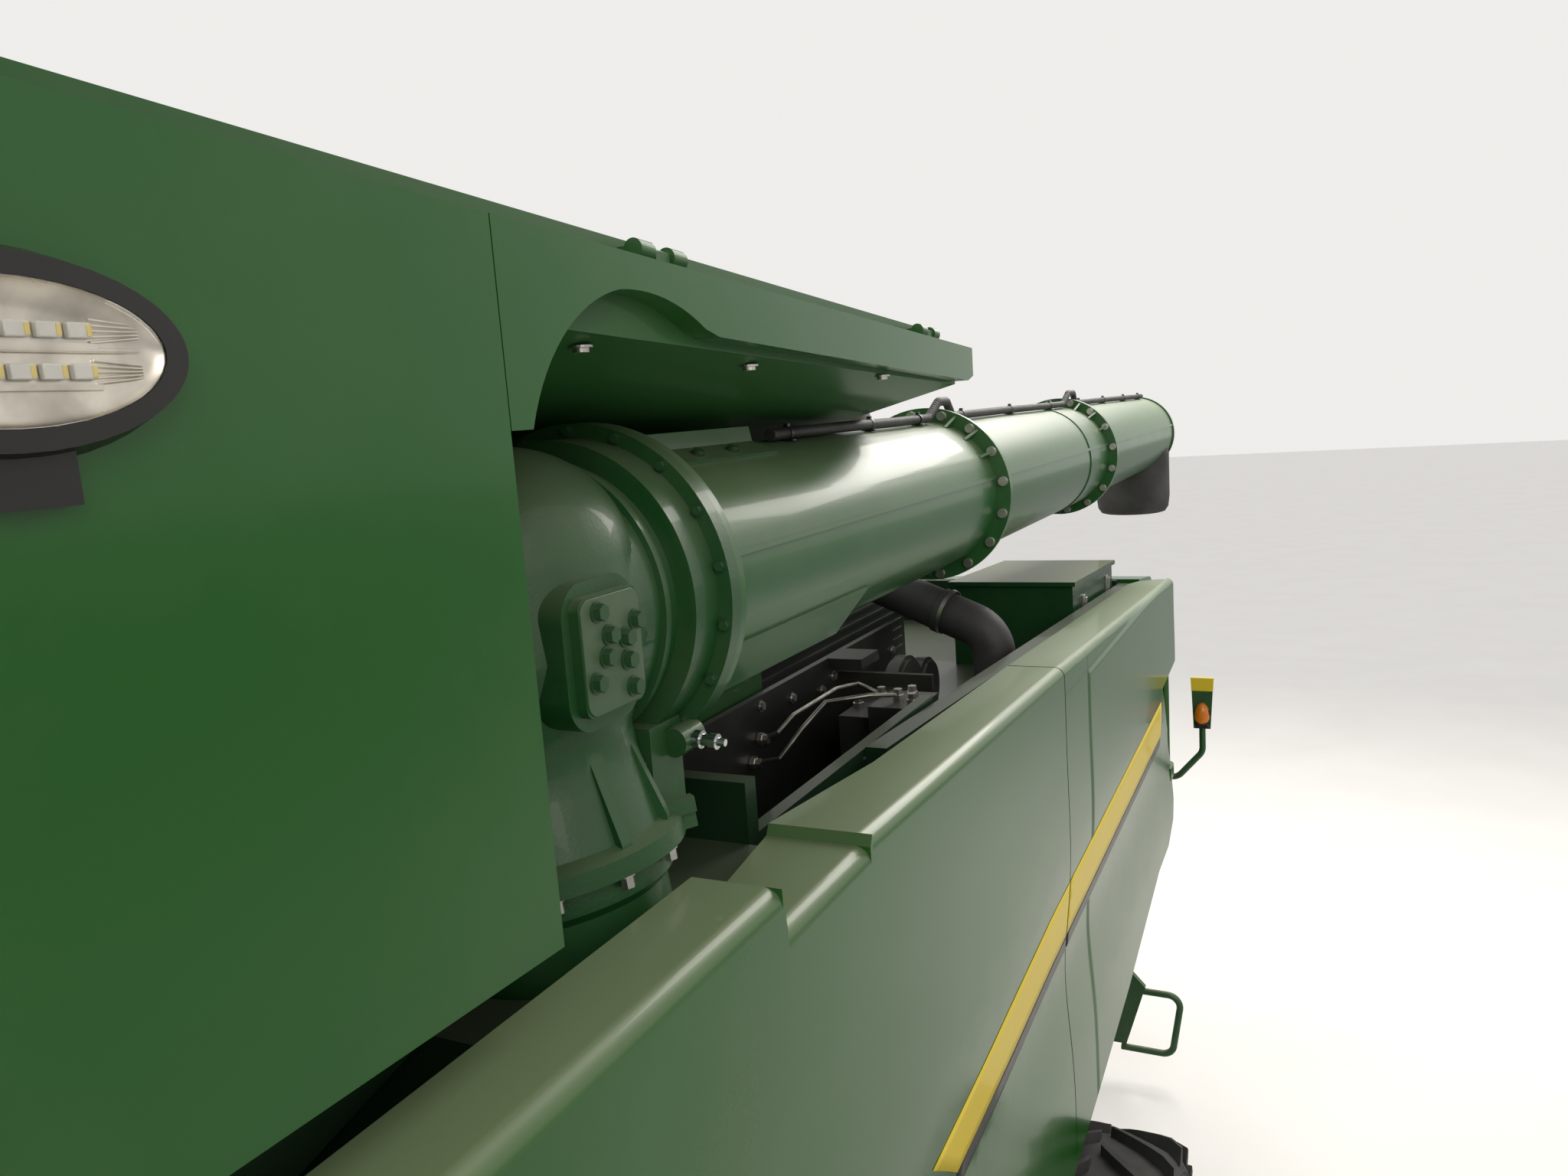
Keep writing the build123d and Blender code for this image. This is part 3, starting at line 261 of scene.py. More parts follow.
# Unloading auger: a rolled tube between a cast elbow and a rubber boot, all
# sprayed green; its flanged lengths are bolted together.
tube_green = enamel("tube_green", (0.020, 0.100, 0.024), roughness=0.28, dust=0.72, peel=0.10, upward_share=0.75, patch=0.3)
cast_green = enamel("cast_green", (0.012, 0.072, 0.017), roughness=0.34, dust=0.62, peel=0.55, upward_share=0.65, patch=0.3)
welded("auger_tube", tube_green)
welded("auger_elbow", cast_green)
welded("auger_base", cast_green)


def rubber(name, colour, roughness=0.72, scale=60.0):
    """Moulded rubber or plastic, greyed by dust in cloudy patches."""
    hide, tree, body = finished(name)
    greyed = [part * 1.5 + 0.03 for part in colour]
    fine = put(tree, "ShaderNodeBump", {"Height": mottled(tree, scale, 6.0), "Strength": 0.35, "Distance": 0.002})
    feed(tree, body, {
        "Base Color": ramped(tree, mottled(tree, 5.0, 9.0), colour, greyed, 0.35, 0.75),
        "Roughness": roughness, "Normal": fine})
    return hide


welded("auger_boot", rubber("boot_rubber", (0.020, 0.018, 0.017)))


# Bolts on the auger: hexagon and round heads on washers, plain zinc or sprayed
# over with the green; one set for each flange, the elbow's side cover, the
# folded strips and the turntable below.
def steel(name, colour, roughness=0.32, metallic=1.0, brushed=0.12):
    """Zinc or turned steel with a fine grain and darker handling marks."""
    metal, tree, body = finished(name)
    marks = mottled(tree, 24.0, 6.0)
    dull = put(tree, "ShaderNodeMapRange", {"Value": marks, "To Min": roughness + brushed, "To Max": roughness})
    feed(tree, body, {
        "Base Color": ramped(tree, marks, [part * 0.62 for part in colour], colour, 0.30, 0.62),
        "Roughness": dull, "Metallic": metallic})
    return metal


def opened(name, fields):
    """Starts a geometry tree: gives it, its inputs' identifiers and their sockets."""
    tree = bpy.data.node_groups.new(name, "GeometryNodeTree")
    sockets = {}
    for label, kind, value in fields:
        socket = tree.interface.new_socket(label, in_out="INPUT", socket_type="NodeSocket" + kind)
        if value is not None:
            socket.default_value = value
        sockets[label] = socket.identifier
    tree.interface.new_socket("Grown", in_out="OUTPUT", socket_type="NodeSocketGeometry")
    return tree, sockets, put(tree, "NodeGroupInput").outputs


def closed(tree, spots, part, finish, turn=None):
    """Ends a geometry tree: the part on each spot, as real mesh in its finish."""
    spread = put(tree, "GeometryNodeInstanceOnPoints", {"Points": spots, "Instance": part})
    if turn is not None:
        feed(tree, spread, {"Rotation": turn})
    solid = put(tree, "GeometryNodeRealizeInstances", {"Geometry": spread})
    coated = put(tree, "GeometryNodeSetMaterial", {"Geometry": solid, "Material": finish})
    put(tree, "NodeGroupOutput", {0: coated})


def bolt_tree(name, sides):
    """One bolt head and washer on each point, facing the point's own way."""
    tree, sockets, given = opened(name, (
        ("Places", "Geometry", None), ("Head Radius", "Float", 0.012), ("Head Height", "Float", 0.009),
        ("Washer Radius", "Float", 0.016), ("Washer Height", "Float", 0.003), ("Metal", "Material", None)))
    both = put(tree, "GeometryNodeJoinGeometry")
    for part, corners in (("Head", sides), ("Washer", 20)):
        turned = put(tree, "GeometryNodeMeshCylinder", {
            "Vertices": corners, "Radius": given[part + " Radius"], "Depth": given[part + " Height"]})
        middle = worked(tree, "MULTIPLY", given[part + " Height"], 0.5)
        if part == "Head":
            middle = worked(tree, "ADD", middle, given["Washer Height"])
        lift = put(tree, "ShaderNodeCombineXYZ", {"Z": middle})
        raised = put(tree, "GeometryNodeTransform", {
            "Geometry": turned, "Translation": lift})
        feed(tree, both, {"Geometry": raised})
    facing = put(tree, "GeometryNodeInputNamedAttribute", {"Name": "facing"}, data_type="FLOAT_VECTOR")
    turn = put(tree, "FunctionNodeAlignRotationToVector", {"Vector": facing}, axis="Z")
    closed(tree, given["Places"], both, given["Metal"], turn)
    return tree, sockets


def grown(piece, kind, values):
    """Runs a geometry tree on a piece with its own values and keeps the mesh."""
    tree, sockets = kind
    setting = piece.modifiers.new("grown", "NODES")
    setting.node_group = tree
    for label, value in values.items():
        setting[sockets[label]] = value
    plain(piece)


hexagon_bolts = bolt_tree("hexagon_bolts", 6)
round_bolts = bolt_tree("round_bolts", 18)


def bolts(name, body, kind, places, metal, head=0.012, height=0.009, washer=0.016, thin=0.003):
    """One set of bolt heads; places are (point, direction) pairs."""
    mesh = bpy.data.meshes.new(name)
    mesh.from_pydata([point for point, _ in places], [], [])
    facing = mesh.attributes.new("facing", "FLOAT_VECTOR", "POINT")
    for k, (_, direction) in enumerate(places):
        facing.data[k].vector = Vector(direction).normalized()
    piece = placed(name, mesh)
    grown(piece, kind, {
        "Head Radius": head, "Head Height": height, "Washer Radius": washer, "Washer Height": thin, "Metal": metal})
    leftover = piece.data.attributes.get("facing")
    if leftover:
        piece.data.attributes.remove(leftover)
    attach(piece, body)


TUBE_X, TUBE_Z = 1.159, 3.356
FIRST_FLANGE, SECOND_FLANGE, THIRD_FLANGE = -0.975, 0.792, 2.622
COVER_FACE = 1.4005
LEAN = radians(8)
zinc = steel("zinc", (0.62, 0.60, 0.55))
green_bolt = enamel("green_bolt", (0.020, 0.072, 0.024), roughness=0.30, dust=0.2)


def around_tube(y, radius, angles):
    """Places round the tube's axis, facing forward; angles from level on the outer side."""
    return [((TUBE_X + radius * cos(radians(a)), y, TUBE_Z + radius * sin(radians(a))), (0, -1, 0)) for a in angles]


cover_places = [((COVER_FACE, y, z), (1, 0, 0)) for y, z in (
    (-1.277, 3.386), (-1.190, 3.360), (-1.292, 3.292), (-1.207, 3.268),
    (-1.255, 3.351), (-1.217, 3.340), (-1.265, 3.322), (-1.216, 3.308))]
bolts("elbow_cover_bolts", "unloading_auger", hexagon_bolts, cover_places,
      green_bolt, head=0.0120, height=0.011, washer=0.0148)
bolts("first_flange_bolts", "unloading_auger", hexagon_bolts,
      around_tube(FIRST_FLANGE, 0.270, range(-170, 180, 20)),
      green_bolt, head=0.008, height=0.007, washer=0.010, thin=0.002)
sixteen = [k * 22.5 + 8 for k in range(16)]
bolts("tube_flange_bolts", "unloading_auger", round_bolts,
      around_tube(SECOND_FLANGE, 0.243, sixteen) + around_tube(THIRD_FLANGE, 0.241, sixteen),
      zinc, head=0.013, height=0.010, washer=0.0145)
strip_up = (cos(radians(63)), 0, sin(radians(63)))
strips = [((1.236, y, 3.5685), strip_up) for y in (-0.830, -0.695, -0.562)]
bolts("strip_bolts", "unloading_auger", round_bolts, strips, green_bolt, head=0.010, height=0.006, washer=0.013)
flange_up, flange_side = Vector((sin(-LEAN), 0, cos(LEAN))), Vector((cos(LEAN), 0, sin(LEAN)))
under = []
for k in range(12):
    out = flange_side * cos(2 * pi * k / 12 + 0.2) + Vector((0, 1, 0)) * sin(2 * pi * k / 12 + 0.2)
    under.append((Vector((TUBE_X, -1.200, TUBE_Z)) + flange_up * -0.374 + out * 0.201, -flange_up))
bolts("turntable_bolts", "unloading_auger", hexagon_bolts, under, zinc, head=0.010, height=0.016, washer=0.012)


# Elbow fittings: the painted plate that the side cover's bolts stand on, the
# grease pipe's chromed union and the zinc nuts of the bracket beside the neck.
def banded(shape, near, far):
    """Adds the faces between two rings of points."""
    for k in range(len(near)):
        after = (k + 1) % len(near)
        corners = list(dict.fromkeys([near[k], near[after], far[after], far[k]]))
        if len(corners) > 2:
            shape.faces.new(corners)


def ringed(shape, profile, spot, sides):
    """Adds joined rings of (distance along, size); spot places their points."""
    rings = []
    for along, size in profile:
        ring = [shape.verts.new(spot(along, size, 2 * pi * k / sides)) for k in range(sides if size else 1)]
        rings.append(ring * (sides // len(ring)))
    for near, far in zip(rings, rings[1:]):
        banded(shape, near, far)
    return rings


def lathe(shape, centre, way, profile, sides=32):
    """Adds a form turned about a line; the profile is (distance along, radius)."""
    turn = Vector(way).normalized().to_track_quat("Z", "Y").to_matrix()
    ringed(shape, profile, lambda along, radius, angle: Vector(centre) + turn @ Vector(
        (radius * cos(angle), radius * sin(angle), along)), sides)


def boxed(shape, corners):
    """Adds a block from its eight corners."""
    spots = [shape.verts.new(corner) for corner in corners]
    for face in ((0, 1, 3, 2), (4, 6, 7, 5), (0, 4, 5, 1), (2, 3, 7, 6), (0, 2, 6, 4), (1, 5, 7, 3)):
        shape.faces.new([spots[k] for k in face])


def slab(shape, one, other):
    """Adds an upright block between two corners."""
    xs, ys, zs = [sorted(pair) for pair in zip(one, other)]
    boxed(shape, [(x, y, z) for x in xs for y in ys for z in zs])


def swept(shape, points, radius, sides=10, endless=False):
    """Adds a round bar that follows a line of points."""
    line = [Vector(point) for point in points]
    side, rings = None, []
    for k, point in enumerate(line):
        before = line[k - 1] if k or endless else point
        after = line[(k + 1) % len(line)] if k + 1 < len(line) or endless else point
        way = (after - before).normalized()
        if side is None:
            side = way.orthogonal().normalized()
        side = (side - way * side.dot(way)).normalized()
        other = way.cross(side)
        turns = [2 * pi * j / sides for j in range(sides)]
        rings.append([shape.verts.new(point + (side * cos(a) + other * sin(a)) * radius) for a in turns])
    for near, far in list(zip(rings, rings[1:])) + ([(rings[-1], rings[0])] if endless else []):
        banded(shape, near, far)
    if not endless:
        shape.faces.new(rings[0][::-1])
        shape.faces.new(rings[-1])


def meshed(name, shape, finish):
    """Puts a built shape in the scene as a piece with its finish."""
    mesh = bpy.data.meshes.new(name)
    shape.to_mesh(mesh)
    shape.free()
    mesh.materials.append(finish)
    return placed(name, mesh)


def made(name, shape, finish, bevel=0.0, crease=35, body="chassis"):
    """A piece from its built shape: faces turned outwards, edges softened."""
    bmesh.ops.recalc_face_normals(shape, faces=shape.faces)
    shaded(shape, crease)
    piece = meshed(name, shape, finish)
    if bevel:
        soft = piece.modifiers.new("softened", "BEVEL")
        soft.width, soft.segments, soft.limit_method = bevel, 2, "ANGLE"
        soft.angle_limit = radians(40)
        evened(piece)
    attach(piece, body)
    return piece


cover = bmesh.new()
slab(cover, (1.3965, -1.3115, 3.2465), (COVER_FACE, -1.1745, 3.4055))
outline = [edge for edge in cover.edges if abs(edge.verts[0].co.x - edge.verts[1].co.x) > 0.003]
bmesh.ops.bevel(cover, geom=outline, offset=0.020, segments=6, affect="EDGES", profile=0.5)
cover_green = enamel("cover_green", (0.050, 0.105, 0.048), roughness=0.40, dust=0.75)
made("elbow_cover", cover, cover_green, bevel=0.0008, body="unloading_auger")
chrome = steel("chrome_rod", (0.80, 0.80, 0.82), roughness=0.10, brushed=0.05)
union = bmesh.new()
lathe(union, (1.369, -1.000, 3.128), (1, 0, -0.06), [
    (0, 0), (0, 0.015), (0.012, 0.015), (0.013, 0.010), (0.026, 0.010), (0.027, 0.013),
    (0.040, 0.013), (0.041, 0.007), (0.054, 0.006), (0.054, 0)], sides=14)
made("elbow_union", union, chrome, crease=30, body="unloading_auger")
nuts = bmesh.new()
for x, z, wide, narrow, long in ((1.311, 3.021, 0.017, 0.012, 0.015), (1.255, 3.050, 0.014, 0.010, 0.012)):
    lathe(nuts, (x, -1.075, z), (0, -1, 0), [
        (0, 0), (0, wide), (0.003, wide), (0.004, narrow), (long, narrow), (long + 0.001, 0)], sides=6)
made("bracket_bolts", nuts, zinc, body="unloading_auger")


# Wiring harness: a black corrugated conduit tied along the tube's top, where
# it humps over the two bolted flanges; nylon ties hold it on small saddles.
def relief(finish, height, strength, distance):
    """Adds a relief on top of a finish's own."""
    tree = finish.node_tree
    body = tree.nodes["Principled BSDF"]
    over = put(tree, "ShaderNodeBump", {
        "Normal": body.inputs["Normal"].links[0].from_socket, "Height": height,
        "Strength": strength, "Distance": distance})
    feed(tree, body, {"Normal": over})


def hoop(shape, centre, way, inner, outer, long, sides=48):
    """Adds a flat hoop about a line."""
    lathe(shape, centre, way, [(0, inner), (0, outer), (long, outer), (long, inner), (0, inner)], sides)


conduit = rubber("conduit_black", (0.014, 0.013, 0.012), roughness=0.55, scale=160.0)
tree = conduit.node_tree
ripple = put(tree, "ShaderNodeTexWave", {
    "Vector": put(tree, "ShaderNodeTexCoord").outputs["Object"], "Scale": 38.0}, bands_direction="Y")
relief(conduit, ripple.outputs["Fac"], 0.8, 0.003)
welded("auger_harness", conduit, crease=50)
ties = bmesh.new()
for y, x, z in ((-0.255, 1.2075, 3.5882), (0.235, 1.2065, 3.5884), (0.600, 1.2105, 3.5878), (1.030, 1.2065, 3.5884),
                (1.640, 1.2035, 3.5889), (2.240, 1.2105, 3.5881), (2.860, 1.2065, 3.5884), (3.480, 1.2025, 3.5889),
                (4.060, 1.2075, 3.5880), (4.560, 1.2080, 3.5880)):
    hoop(ties, (x, y - 0.0045, z), (0, 1, 0), 0.0132, 0.0155, 0.009, sides=20)
    slab(ties, (x - 0.004, y - 0.006, z + 0.013), (x + 0.006, y + 0.006, z + 0.021))
    slab(ties, (x - 0.030, y - 0.009, z - 0.0175), (x + 0.018, y + 0.009, z - 0.0135))
nylon = rubber("tie_nylon", (0.010, 0.010, 0.010), roughness=0.38, scale=220.0)
made("harness_ties", ties, nylon, bevel=0.0008, body="unloading_auger")

# Side shields: moulded sheets in gloss green with a bulged skin. A yellow
# stripe sweeps up both shields over a thin black strip of painted crease shadow.
HANDS = ((1, "left"), (-1, "right"))
shield_paint = {"roughness": 0.20, "dust": 0.85, "upward_share": 1.0, "patch": 0.10}
shield_green = enamel("shield_green", GREEN, **shield_paint)
for node in ("shield_front_left", "shield_front_right"):
    welded(node, shield_green, crease=24)


def pressed(paint, edges):
    """Adds a shallow pressed panel to a paint; its two edges are (axis, from, to) ramps."""
    tree = paint.node_tree
    split = put(tree, "ShaderNodeSeparateXYZ", {"Vector": put(tree, "ShaderNodeTexCoord").outputs["Object"]})
    ramps = [put(tree, "ShaderNodeMapRange", {"Value": split.outputs[axis], "From Min": start, "From Max": end},
                 interpolation_type="SMOOTHSTEP") for axis, start, end in edges]
    relief(paint, worked(tree, "SMOOTH_MIN", *ramps, 0.45), 1.0, 0.014)


rear_green = enamel("rear_shield_green", GREEN, **shield_paint)
pressed(rear_green, (("Y", 0.985, 1.045), ("Z", 2.785, 2.745)))
for node in ("shield_rear_left", "shield_rear_right"):
    welded(node, rear_green, crease=24)
stripe_yellow = enamel("stripe_yellow", (0.76, 0.57, 0.025), roughness=0.46, dust=0.10, peel=0.02)
# Black film under the stripe: painted shadow where the shield's crease shades it.
line_black = enamel("line_black", (0.010, 0.010, 0.010), roughness=0.36, dust=0.12, peel=0.02)
STRIPE_TOP = [(-0.590, 2.140), (-0.210, 2.160), (0.440, 2.210), (2.570, 2.260)]
STRIPE_FOOT = [(-0.410, 2.010), (-0.020, 2.020), (0.500, 2.045), (2.640, 2.080)]


def height_at(line, y):
    """The height of a line of (y, z) points at y."""
    for (y0, z0), (y1, z1) in zip(line, line[1:]):
        if y <= y1:
            break
    return z0 + (z1 - z0) * (y - y0) / (y1 - y0)


def netted(shape, grid, outward):
    """Adds the faces between rows of points."""
    for near, far in zip(grid, grid[1:]):
        for j in range(len(near) - 1):
            corners = [near[j], far[j], far[j + 1], near[j + 1]]
            shape.faces.new(corners if outward else corners[::-1])


def decal(name, node, side, top, foot, y_from, y_to, finish):
    """A film laid on the shield's skin between two lines."""
    skin = frame["nodes"][node].data
    surface = BVHTree.FromPolygons([v.co for v in skin.vertices], [f.vertices for f in skin.polygons])
    columns, rows, film_height = 60, 6, 0.0016
    film = bmesh.new()
    grid = []
    for i in range(columns + 1):
        low, high = [line[0][0] + (line[-1][0] - line[0][0]) * (i / columns) for line in (foot, top)]
        grid.append([])
        for s in [j / rows for j in range(rows + 1)]:
            y = min(max(low + (high - low) * s, y_from), y_to)
            z = height_at(foot, y) * (1 - s) + height_at(top, y) * s
            hit = surface.ray_cast(Vector((side * 3.0, y, z)), Vector((-side, 0, 0)))[0]
            grid[-1].append(film.verts.new((hit.x + side * film_height, y, z)))
    netted(film, grid, side > 0)
    bmesh.ops.dissolve_degenerate(film, edges=film.edges, dist=1e-5)
    for face in film.faces:
        face.smooth = True
    piece = meshed(name, film, finish)
    thick = piece.modifiers.new("film", "SOLIDIFY")
    thick.thickness, thick.offset = 0.0010, -1.0
    plain(piece)
    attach(piece, body_of(frame["nodes"][node])[0])


# The black film's edges, just below the stripe's foot: a painted crease shadow.
shadow_top = [(y, z - 0.004) for y, z in STRIPE_FOOT]
shadow_foot = [(y, z - 0.044) for y, z in STRIPE_FOOT]
for side, hand in HANDS:
    for part, y_from, y_to in (("front", -2.0, 0.663), ("rear", 0.677, 2.9)):
        node = f"shield_{part}_{hand}"
        decal(f"stripe_{part}_{hand}", node, side, STRIPE_TOP, STRIPE_FOOT, y_from, y_to, stripe_yellow)
        decal(f"stripe_shadow_{part}_{hand}", node, side, shadow_top, shadow_foot, y_from, y_to, line_black)

# Tyres: black farm rubber with slanted lugs on a rounded carcass, beads
# seated on the rims; moulded rings run round the sidewalls.
tyre_rubber = rubber("tyre_rubber", (0.016, 0.015, 0.014), roughness=0.78, scale=35.0)


def farm_tyre(hub, bore, width, count):
    """A tyre about a hub: turned carcass, sidewall rings and two rows of lugs."""
    x, y, z = hub
    outer, half = z, width / 2
    lug_height = 0.055 * outer
    tread = outer - lug_height
    shape = bmesh.new()
    wall = [
        (0.40, bore + 0.001), (0.415, bore + 0.012), (0.455, bore + 0.030), (0.480, bore + 0.060),
        (0.497, 0.70 * outer), (0.500, 0.80 * outer), (0.488, 0.87 * outer), (0.465, tread - 0.030),
        (0.40, tread - 0.012), (0.28, tread - 0.003), (0.14, tread), (0.0, tread + 0.001),
    ]
    profile = [(-part * width, radius) for part, radius in wall]
    profile += [(part * width, radius) for part, radius in wall[-2::-1]]
    lathe(shape, hub, (1, 0, 0), profile + profile[:1], sides=96)
    for end in (-1, 1):
        for radius, out in ((0.745 * outer, 0.4985), (0.845 * outer, 0.494), (bore + 0.040, 0.464)):
            lathe(shape, (x + end * (out * width - 0.004), y, z), (end, 0, 0), [
                (0, radius - 0.005), (0.006, radius - 0.003), (0.006, radius + 0.003),
                (0, radius + 0.005), (0, radius - 0.005)], sides=96)
    for side in (-1, 1):
        for k in range(count):
            start = 2 * pi * (k + (0.5 if side > 0 else 0.0)) / count
            rings = []
            for t in [step / 6 for step in range(7)]:
                across = side * (0.02 * width + t * (half * 0.985 - 0.02 * width))
                swing = start + (0.86 * t ** 0.86) * (half / outer)
                top = outer - 0.0015 - 0.030 * outer * max(0, t - 0.82) / 0.18
                foot = tread - 0.012 - 0.045 * outer * t ** 3
                broad = (0.030 + 0.012 * t) * outer / tread
                corners = ((-broad * 1.25, foot), (-broad * 0.62, top), (broad * 0.62, top), (broad * 1.25, foot))
                rings.append([shape.verts.new((
                    x + across, y - radius * sin(swing + turn), z + radius * cos(swing + turn),
                )) for turn, radius in corners])
            for near, far in zip(rings, rings[1:]):
                banded(shape, near, far)
            shape.faces.new(rings[0])
            shape.faces.new(rings[-1][::-1])
    return shape


hubs = {}
for end, x, y, outer, bore, width, lugs in (
    ("front", 1.5, -2.4, 1.04, 0.483, 0.80, 22), ("rear", 1.6, 0.8, 0.62, 0.318, 0.48, 20),
):
    for side, hand in HANDS:
        hub = (side * x, y, outer)
        place = f"{end}_{hand}"
        hubs[place] = (hub, bore)
        shape = farm_tyre(hub, bore, width, lugs)
        tread = made("farm_tyre_" + place, shape, tyre_rubber, crease=30, body="wheel_" + place)
        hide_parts("tyre_" + place)
        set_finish(tread, "tyre")

# Wheels: pressed steel discs welded in their barrels, sprayed yellow; zinc nuts
# hold each to its hub, which a yellow cap with six small screws covers.
wheel_yellow = enamel("wheel_yellow", (0.74, 0.53, 0.022), roughness=0.30, dust=0.25)
for place, ((x, y, z), bore) in hubs.items():
    welded("rim_" + place, wheel_yellow, crease=28)
    side = 1 if x > 0 else -1
    nuts = 10 if "front" in place else 8
    reach = 0.42 * bore
    turns = [2 * pi * k / nuts for k in range(nuts)]
    ring = [((x + side * 0.086, y + reach * cos(a), z + reach * sin(a)), (side, 0, 0)) for a in turns]
    bolts("wheel_nuts_" + place, "wheel_" + place, hexagon_bolts, ring,
          zinc, head=0.017, height=0.024, washer=0.023, thin=0.005)
    cap, reach = bmesh.new(), 0.19 * bore
    lathe(cap, (x + side * 0.139, y, z), (side, 0, 0), [
        (0, 0.92 * reach), (0.010, 0.90 * reach), (0.022, 0.72 * reach), (0.028, 0.30 * reach), (0.028, 0)], sides=40)
    for a in [2 * pi * k / 6 for k in range(6)]:
        at = (x + side * 0.150, y + 0.80 * reach * cos(a), z + 0.80 * reach * sin(a))
        lathe(cap, at, (side, 0, 0), [(0, 0.007), (0.012, 0.007), (0.012, 0)], sides=6)
    made("hub_cap_" + place, cap, wheel_yellow, body="wheel_" + place)

# Chassis and axles: welded box members and cast knuckles in black enamel,
# with chromed rods in the steering and lift cylinders.
KINGPIN_X, KINGPIN_Y, KINGPIN_TOP = 1.2, 0.8, 0.795
frame_black = enamel("frame_black", (0.013, 0.013, 0.012), roughness=0.40, dust=0.20, peel=0.2)
for node in ("chassis_frame", "cab_subframe"):
    painted(node, frame_black)
for node in ("front_axle", "rear_axle", "knuckle_left", "knuckle_right", "lift_barrels"):
    welded(node, frame_black)
for node in ("tie_rod", "lift_rods"):
    welded(node, chrome)
for side, hand in HANDS:
    round_pin = ((0, 0.055), (0, -0.055), (0.055, 0), (-0.055, 0))
    caps = [((side * KINGPIN_X + x, KINGPIN_Y + y, KINGPIN_TOP), (0, 0, 1)) for x, y in round_pin]
    bolts("kingpin_bolts_" + hand, "chassis", hexagon_bolts, caps, zinc, head=0.011, height=0.010, washer=0.014)

# Separator body between the shields: folded green sheet with belt pulleys on
# both sides; black rubber belts join each pulley to the next.
welded("separator_body", green)
belt_rubber = rubber("belt_rubber", (0.012, 0.012, 0.012), roughness=0.60, scale=120.0)


def belt(shape, first, second, x, width):
    """A flat endless belt round two pulleys given as (y, z, radius)."""
    (y0, z0, r0), (y1, z1, r1) = first, second
    apart = Vector((y1 - y0, z1 - z0))
    wrap = acos((r0 - r1) / apart.length)
    base = atan2(apart.y, apart.x)
    rings = []
    for y, z, radius, start, sweep in (
        (y0, z0, r0, base + wrap, 2 * pi - 2 * wrap), (y1, z1, r1, base - wrap, 2 * wrap),
    ):
        for a in [start + sweep * k / 20 for k in range(21)]:
            corners = [(x + half, radius + thick) for half, thick in (
                (-width / 2, 0.0), (-width / 2, 0.011), (width / 2, 0.011), (width / 2, 0.0))]
            rings.append([shape.verts.new((across, y + out * cos(a), z + out * sin(a))) for across, out in corners])
    for near, far in zip(rings, rings[1:] + rings[:1]):
        banded(shape, near, far)


belts = bmesh.new()
pulleys = [(-1.75, 1.90, 0.21), (-1.15, 1.85, 0.13), (-0.56, 1.80, 0.25), (0.30, 2.05, 0.16), (2.30, 2.10, 0.24)]
for side in (-1, 1):
    for k, (first, second) in enumerate(zip(pulleys, pulleys[1:])):
        belt(belts, first, second, side * (1.042 + 0.024 * (k % 2)), 0.020)
made("drive_belts", belts, belt_rubber, crease=45)
pulley_hubs = [((side * 1.080, y, z), (side, 0, 0)) for side in (-1, 1) for y, z, _ in pulleys]
bolts("pulley_nuts", "chassis", hexagon_bolts, pulley_hubs, zinc, head=0.022, height=0.020, washer=0.032, thin=0.006)

# Feeder house: a green sheet casing with a hooked frame that carries the
# header, and a black slatted drum that turns in its mouth.
welded("feeder_house", green)
welded("feeder_drum", frame_black)

# Rear hood and chopper: green sheet over the straw outlet with a louvred
# grille and tail lamps in its back wall, and two finned spreader discs below.
welded("rear_hood", green)
for node in ("chopper_housing", "spreader_disc_left", "spreader_disc_right"):
    welded(node, frame_black)


def blade_tree(name):
    """A row of sloped louvre blades along Z, centred on X."""
    tree, sockets, given = opened(name, (
        ("Count", "Int", 8), ("Pitch", "Float", 0.05), ("Length", "Float", 0.6), ("Depth", "Float", 0.03),
        ("Thickness", "Float", 0.004), ("Slope", "Float", 0.6), ("Paint", "Material", None)))
    step = put(tree, "ShaderNodeCombineXYZ", {"Z": given["Pitch"]})
    size = put(tree, "ShaderNodeCombineXYZ", {"X": given["Length"], "Y": given["Depth"], "Z": given["Thickness"]})
    angle = put(tree, "ShaderNodeCombineXYZ", {"X": given["Slope"]})
    row = put(tree, "GeometryNodeMeshLine", {"Count": given["Count"], "Offset": step})
    blade = put(tree, "GeometryNodeMeshCube", {"Size": size})
    closed(tree, row, blade, given["Paint"], angle)
    return tree, sockets


def by_tree(name, body, kind, values, spot, turn=Matrix()):
    """A piece grown by a tree from its own values, then put in its place."""
    piece = placed(name, bpy.data.meshes.new(name))
    grown(piece, kind, values)
    piece.data.transform(Matrix.Translation(Vector(spot)) @ turn)
    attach(piece, body)


louvres = blade_tree("louvre_blades")
grille = bmesh.new()
for k, x in enumerate((-0.92, 0.0, 0.92)):
    for left, right, foot, top in ((-0.42, -0.40, 1.760, 2.140), (0.40, 0.42, 1.760, 2.140),
                                   (-0.42, 0.42, 1.750, 1.770), (-0.42, 0.42, 2.130, 2.150)):
        slab(grille, (x + left, 3.696, foot), (x + right, 3.726, top))
    by_tree(f"hood_louvres_{k + 1}", "chassis", louvres, {
        "Count": 10, "Pitch": 0.036, "Length": 0.81, "Depth": 0.026, "Thickness": 0.004, "Slope": -0.7,
        "Paint": green}, (x, 3.710, 1.788))
made("hood_grille_frames", grille, green, bevel=0.002)
lens_red = rubber("lens_red", (0.32, 0.012, 0.010), roughness=0.12, scale=15.0)
lens_amber = rubber("lens_amber", (0.72, 0.20, 0.012), roughness=0.12, scale=15.0)
lamp_black = enamel("lamp_black", (0.008, 0.008, 0.007), roughness=0.42, dust=0.08, peel=0.1)
for colour, z, glow in (("red", 1.655, lens_red), ("amber", 1.585, lens_amber)):
    tail = bmesh.new()
    for side in (-1, 1):
        lathe(tail, (side * 1.24, 3.56 + 0.7 * (z - 1.5), z), (0, 0.819, -0.573), [
            (0, 0.034), (0.020, 0.034), (0.030, 0.028), (0.035, 0.014), (0.036, 0)], sides=32)
    made("tail_lens_" + colour, tail, glow)

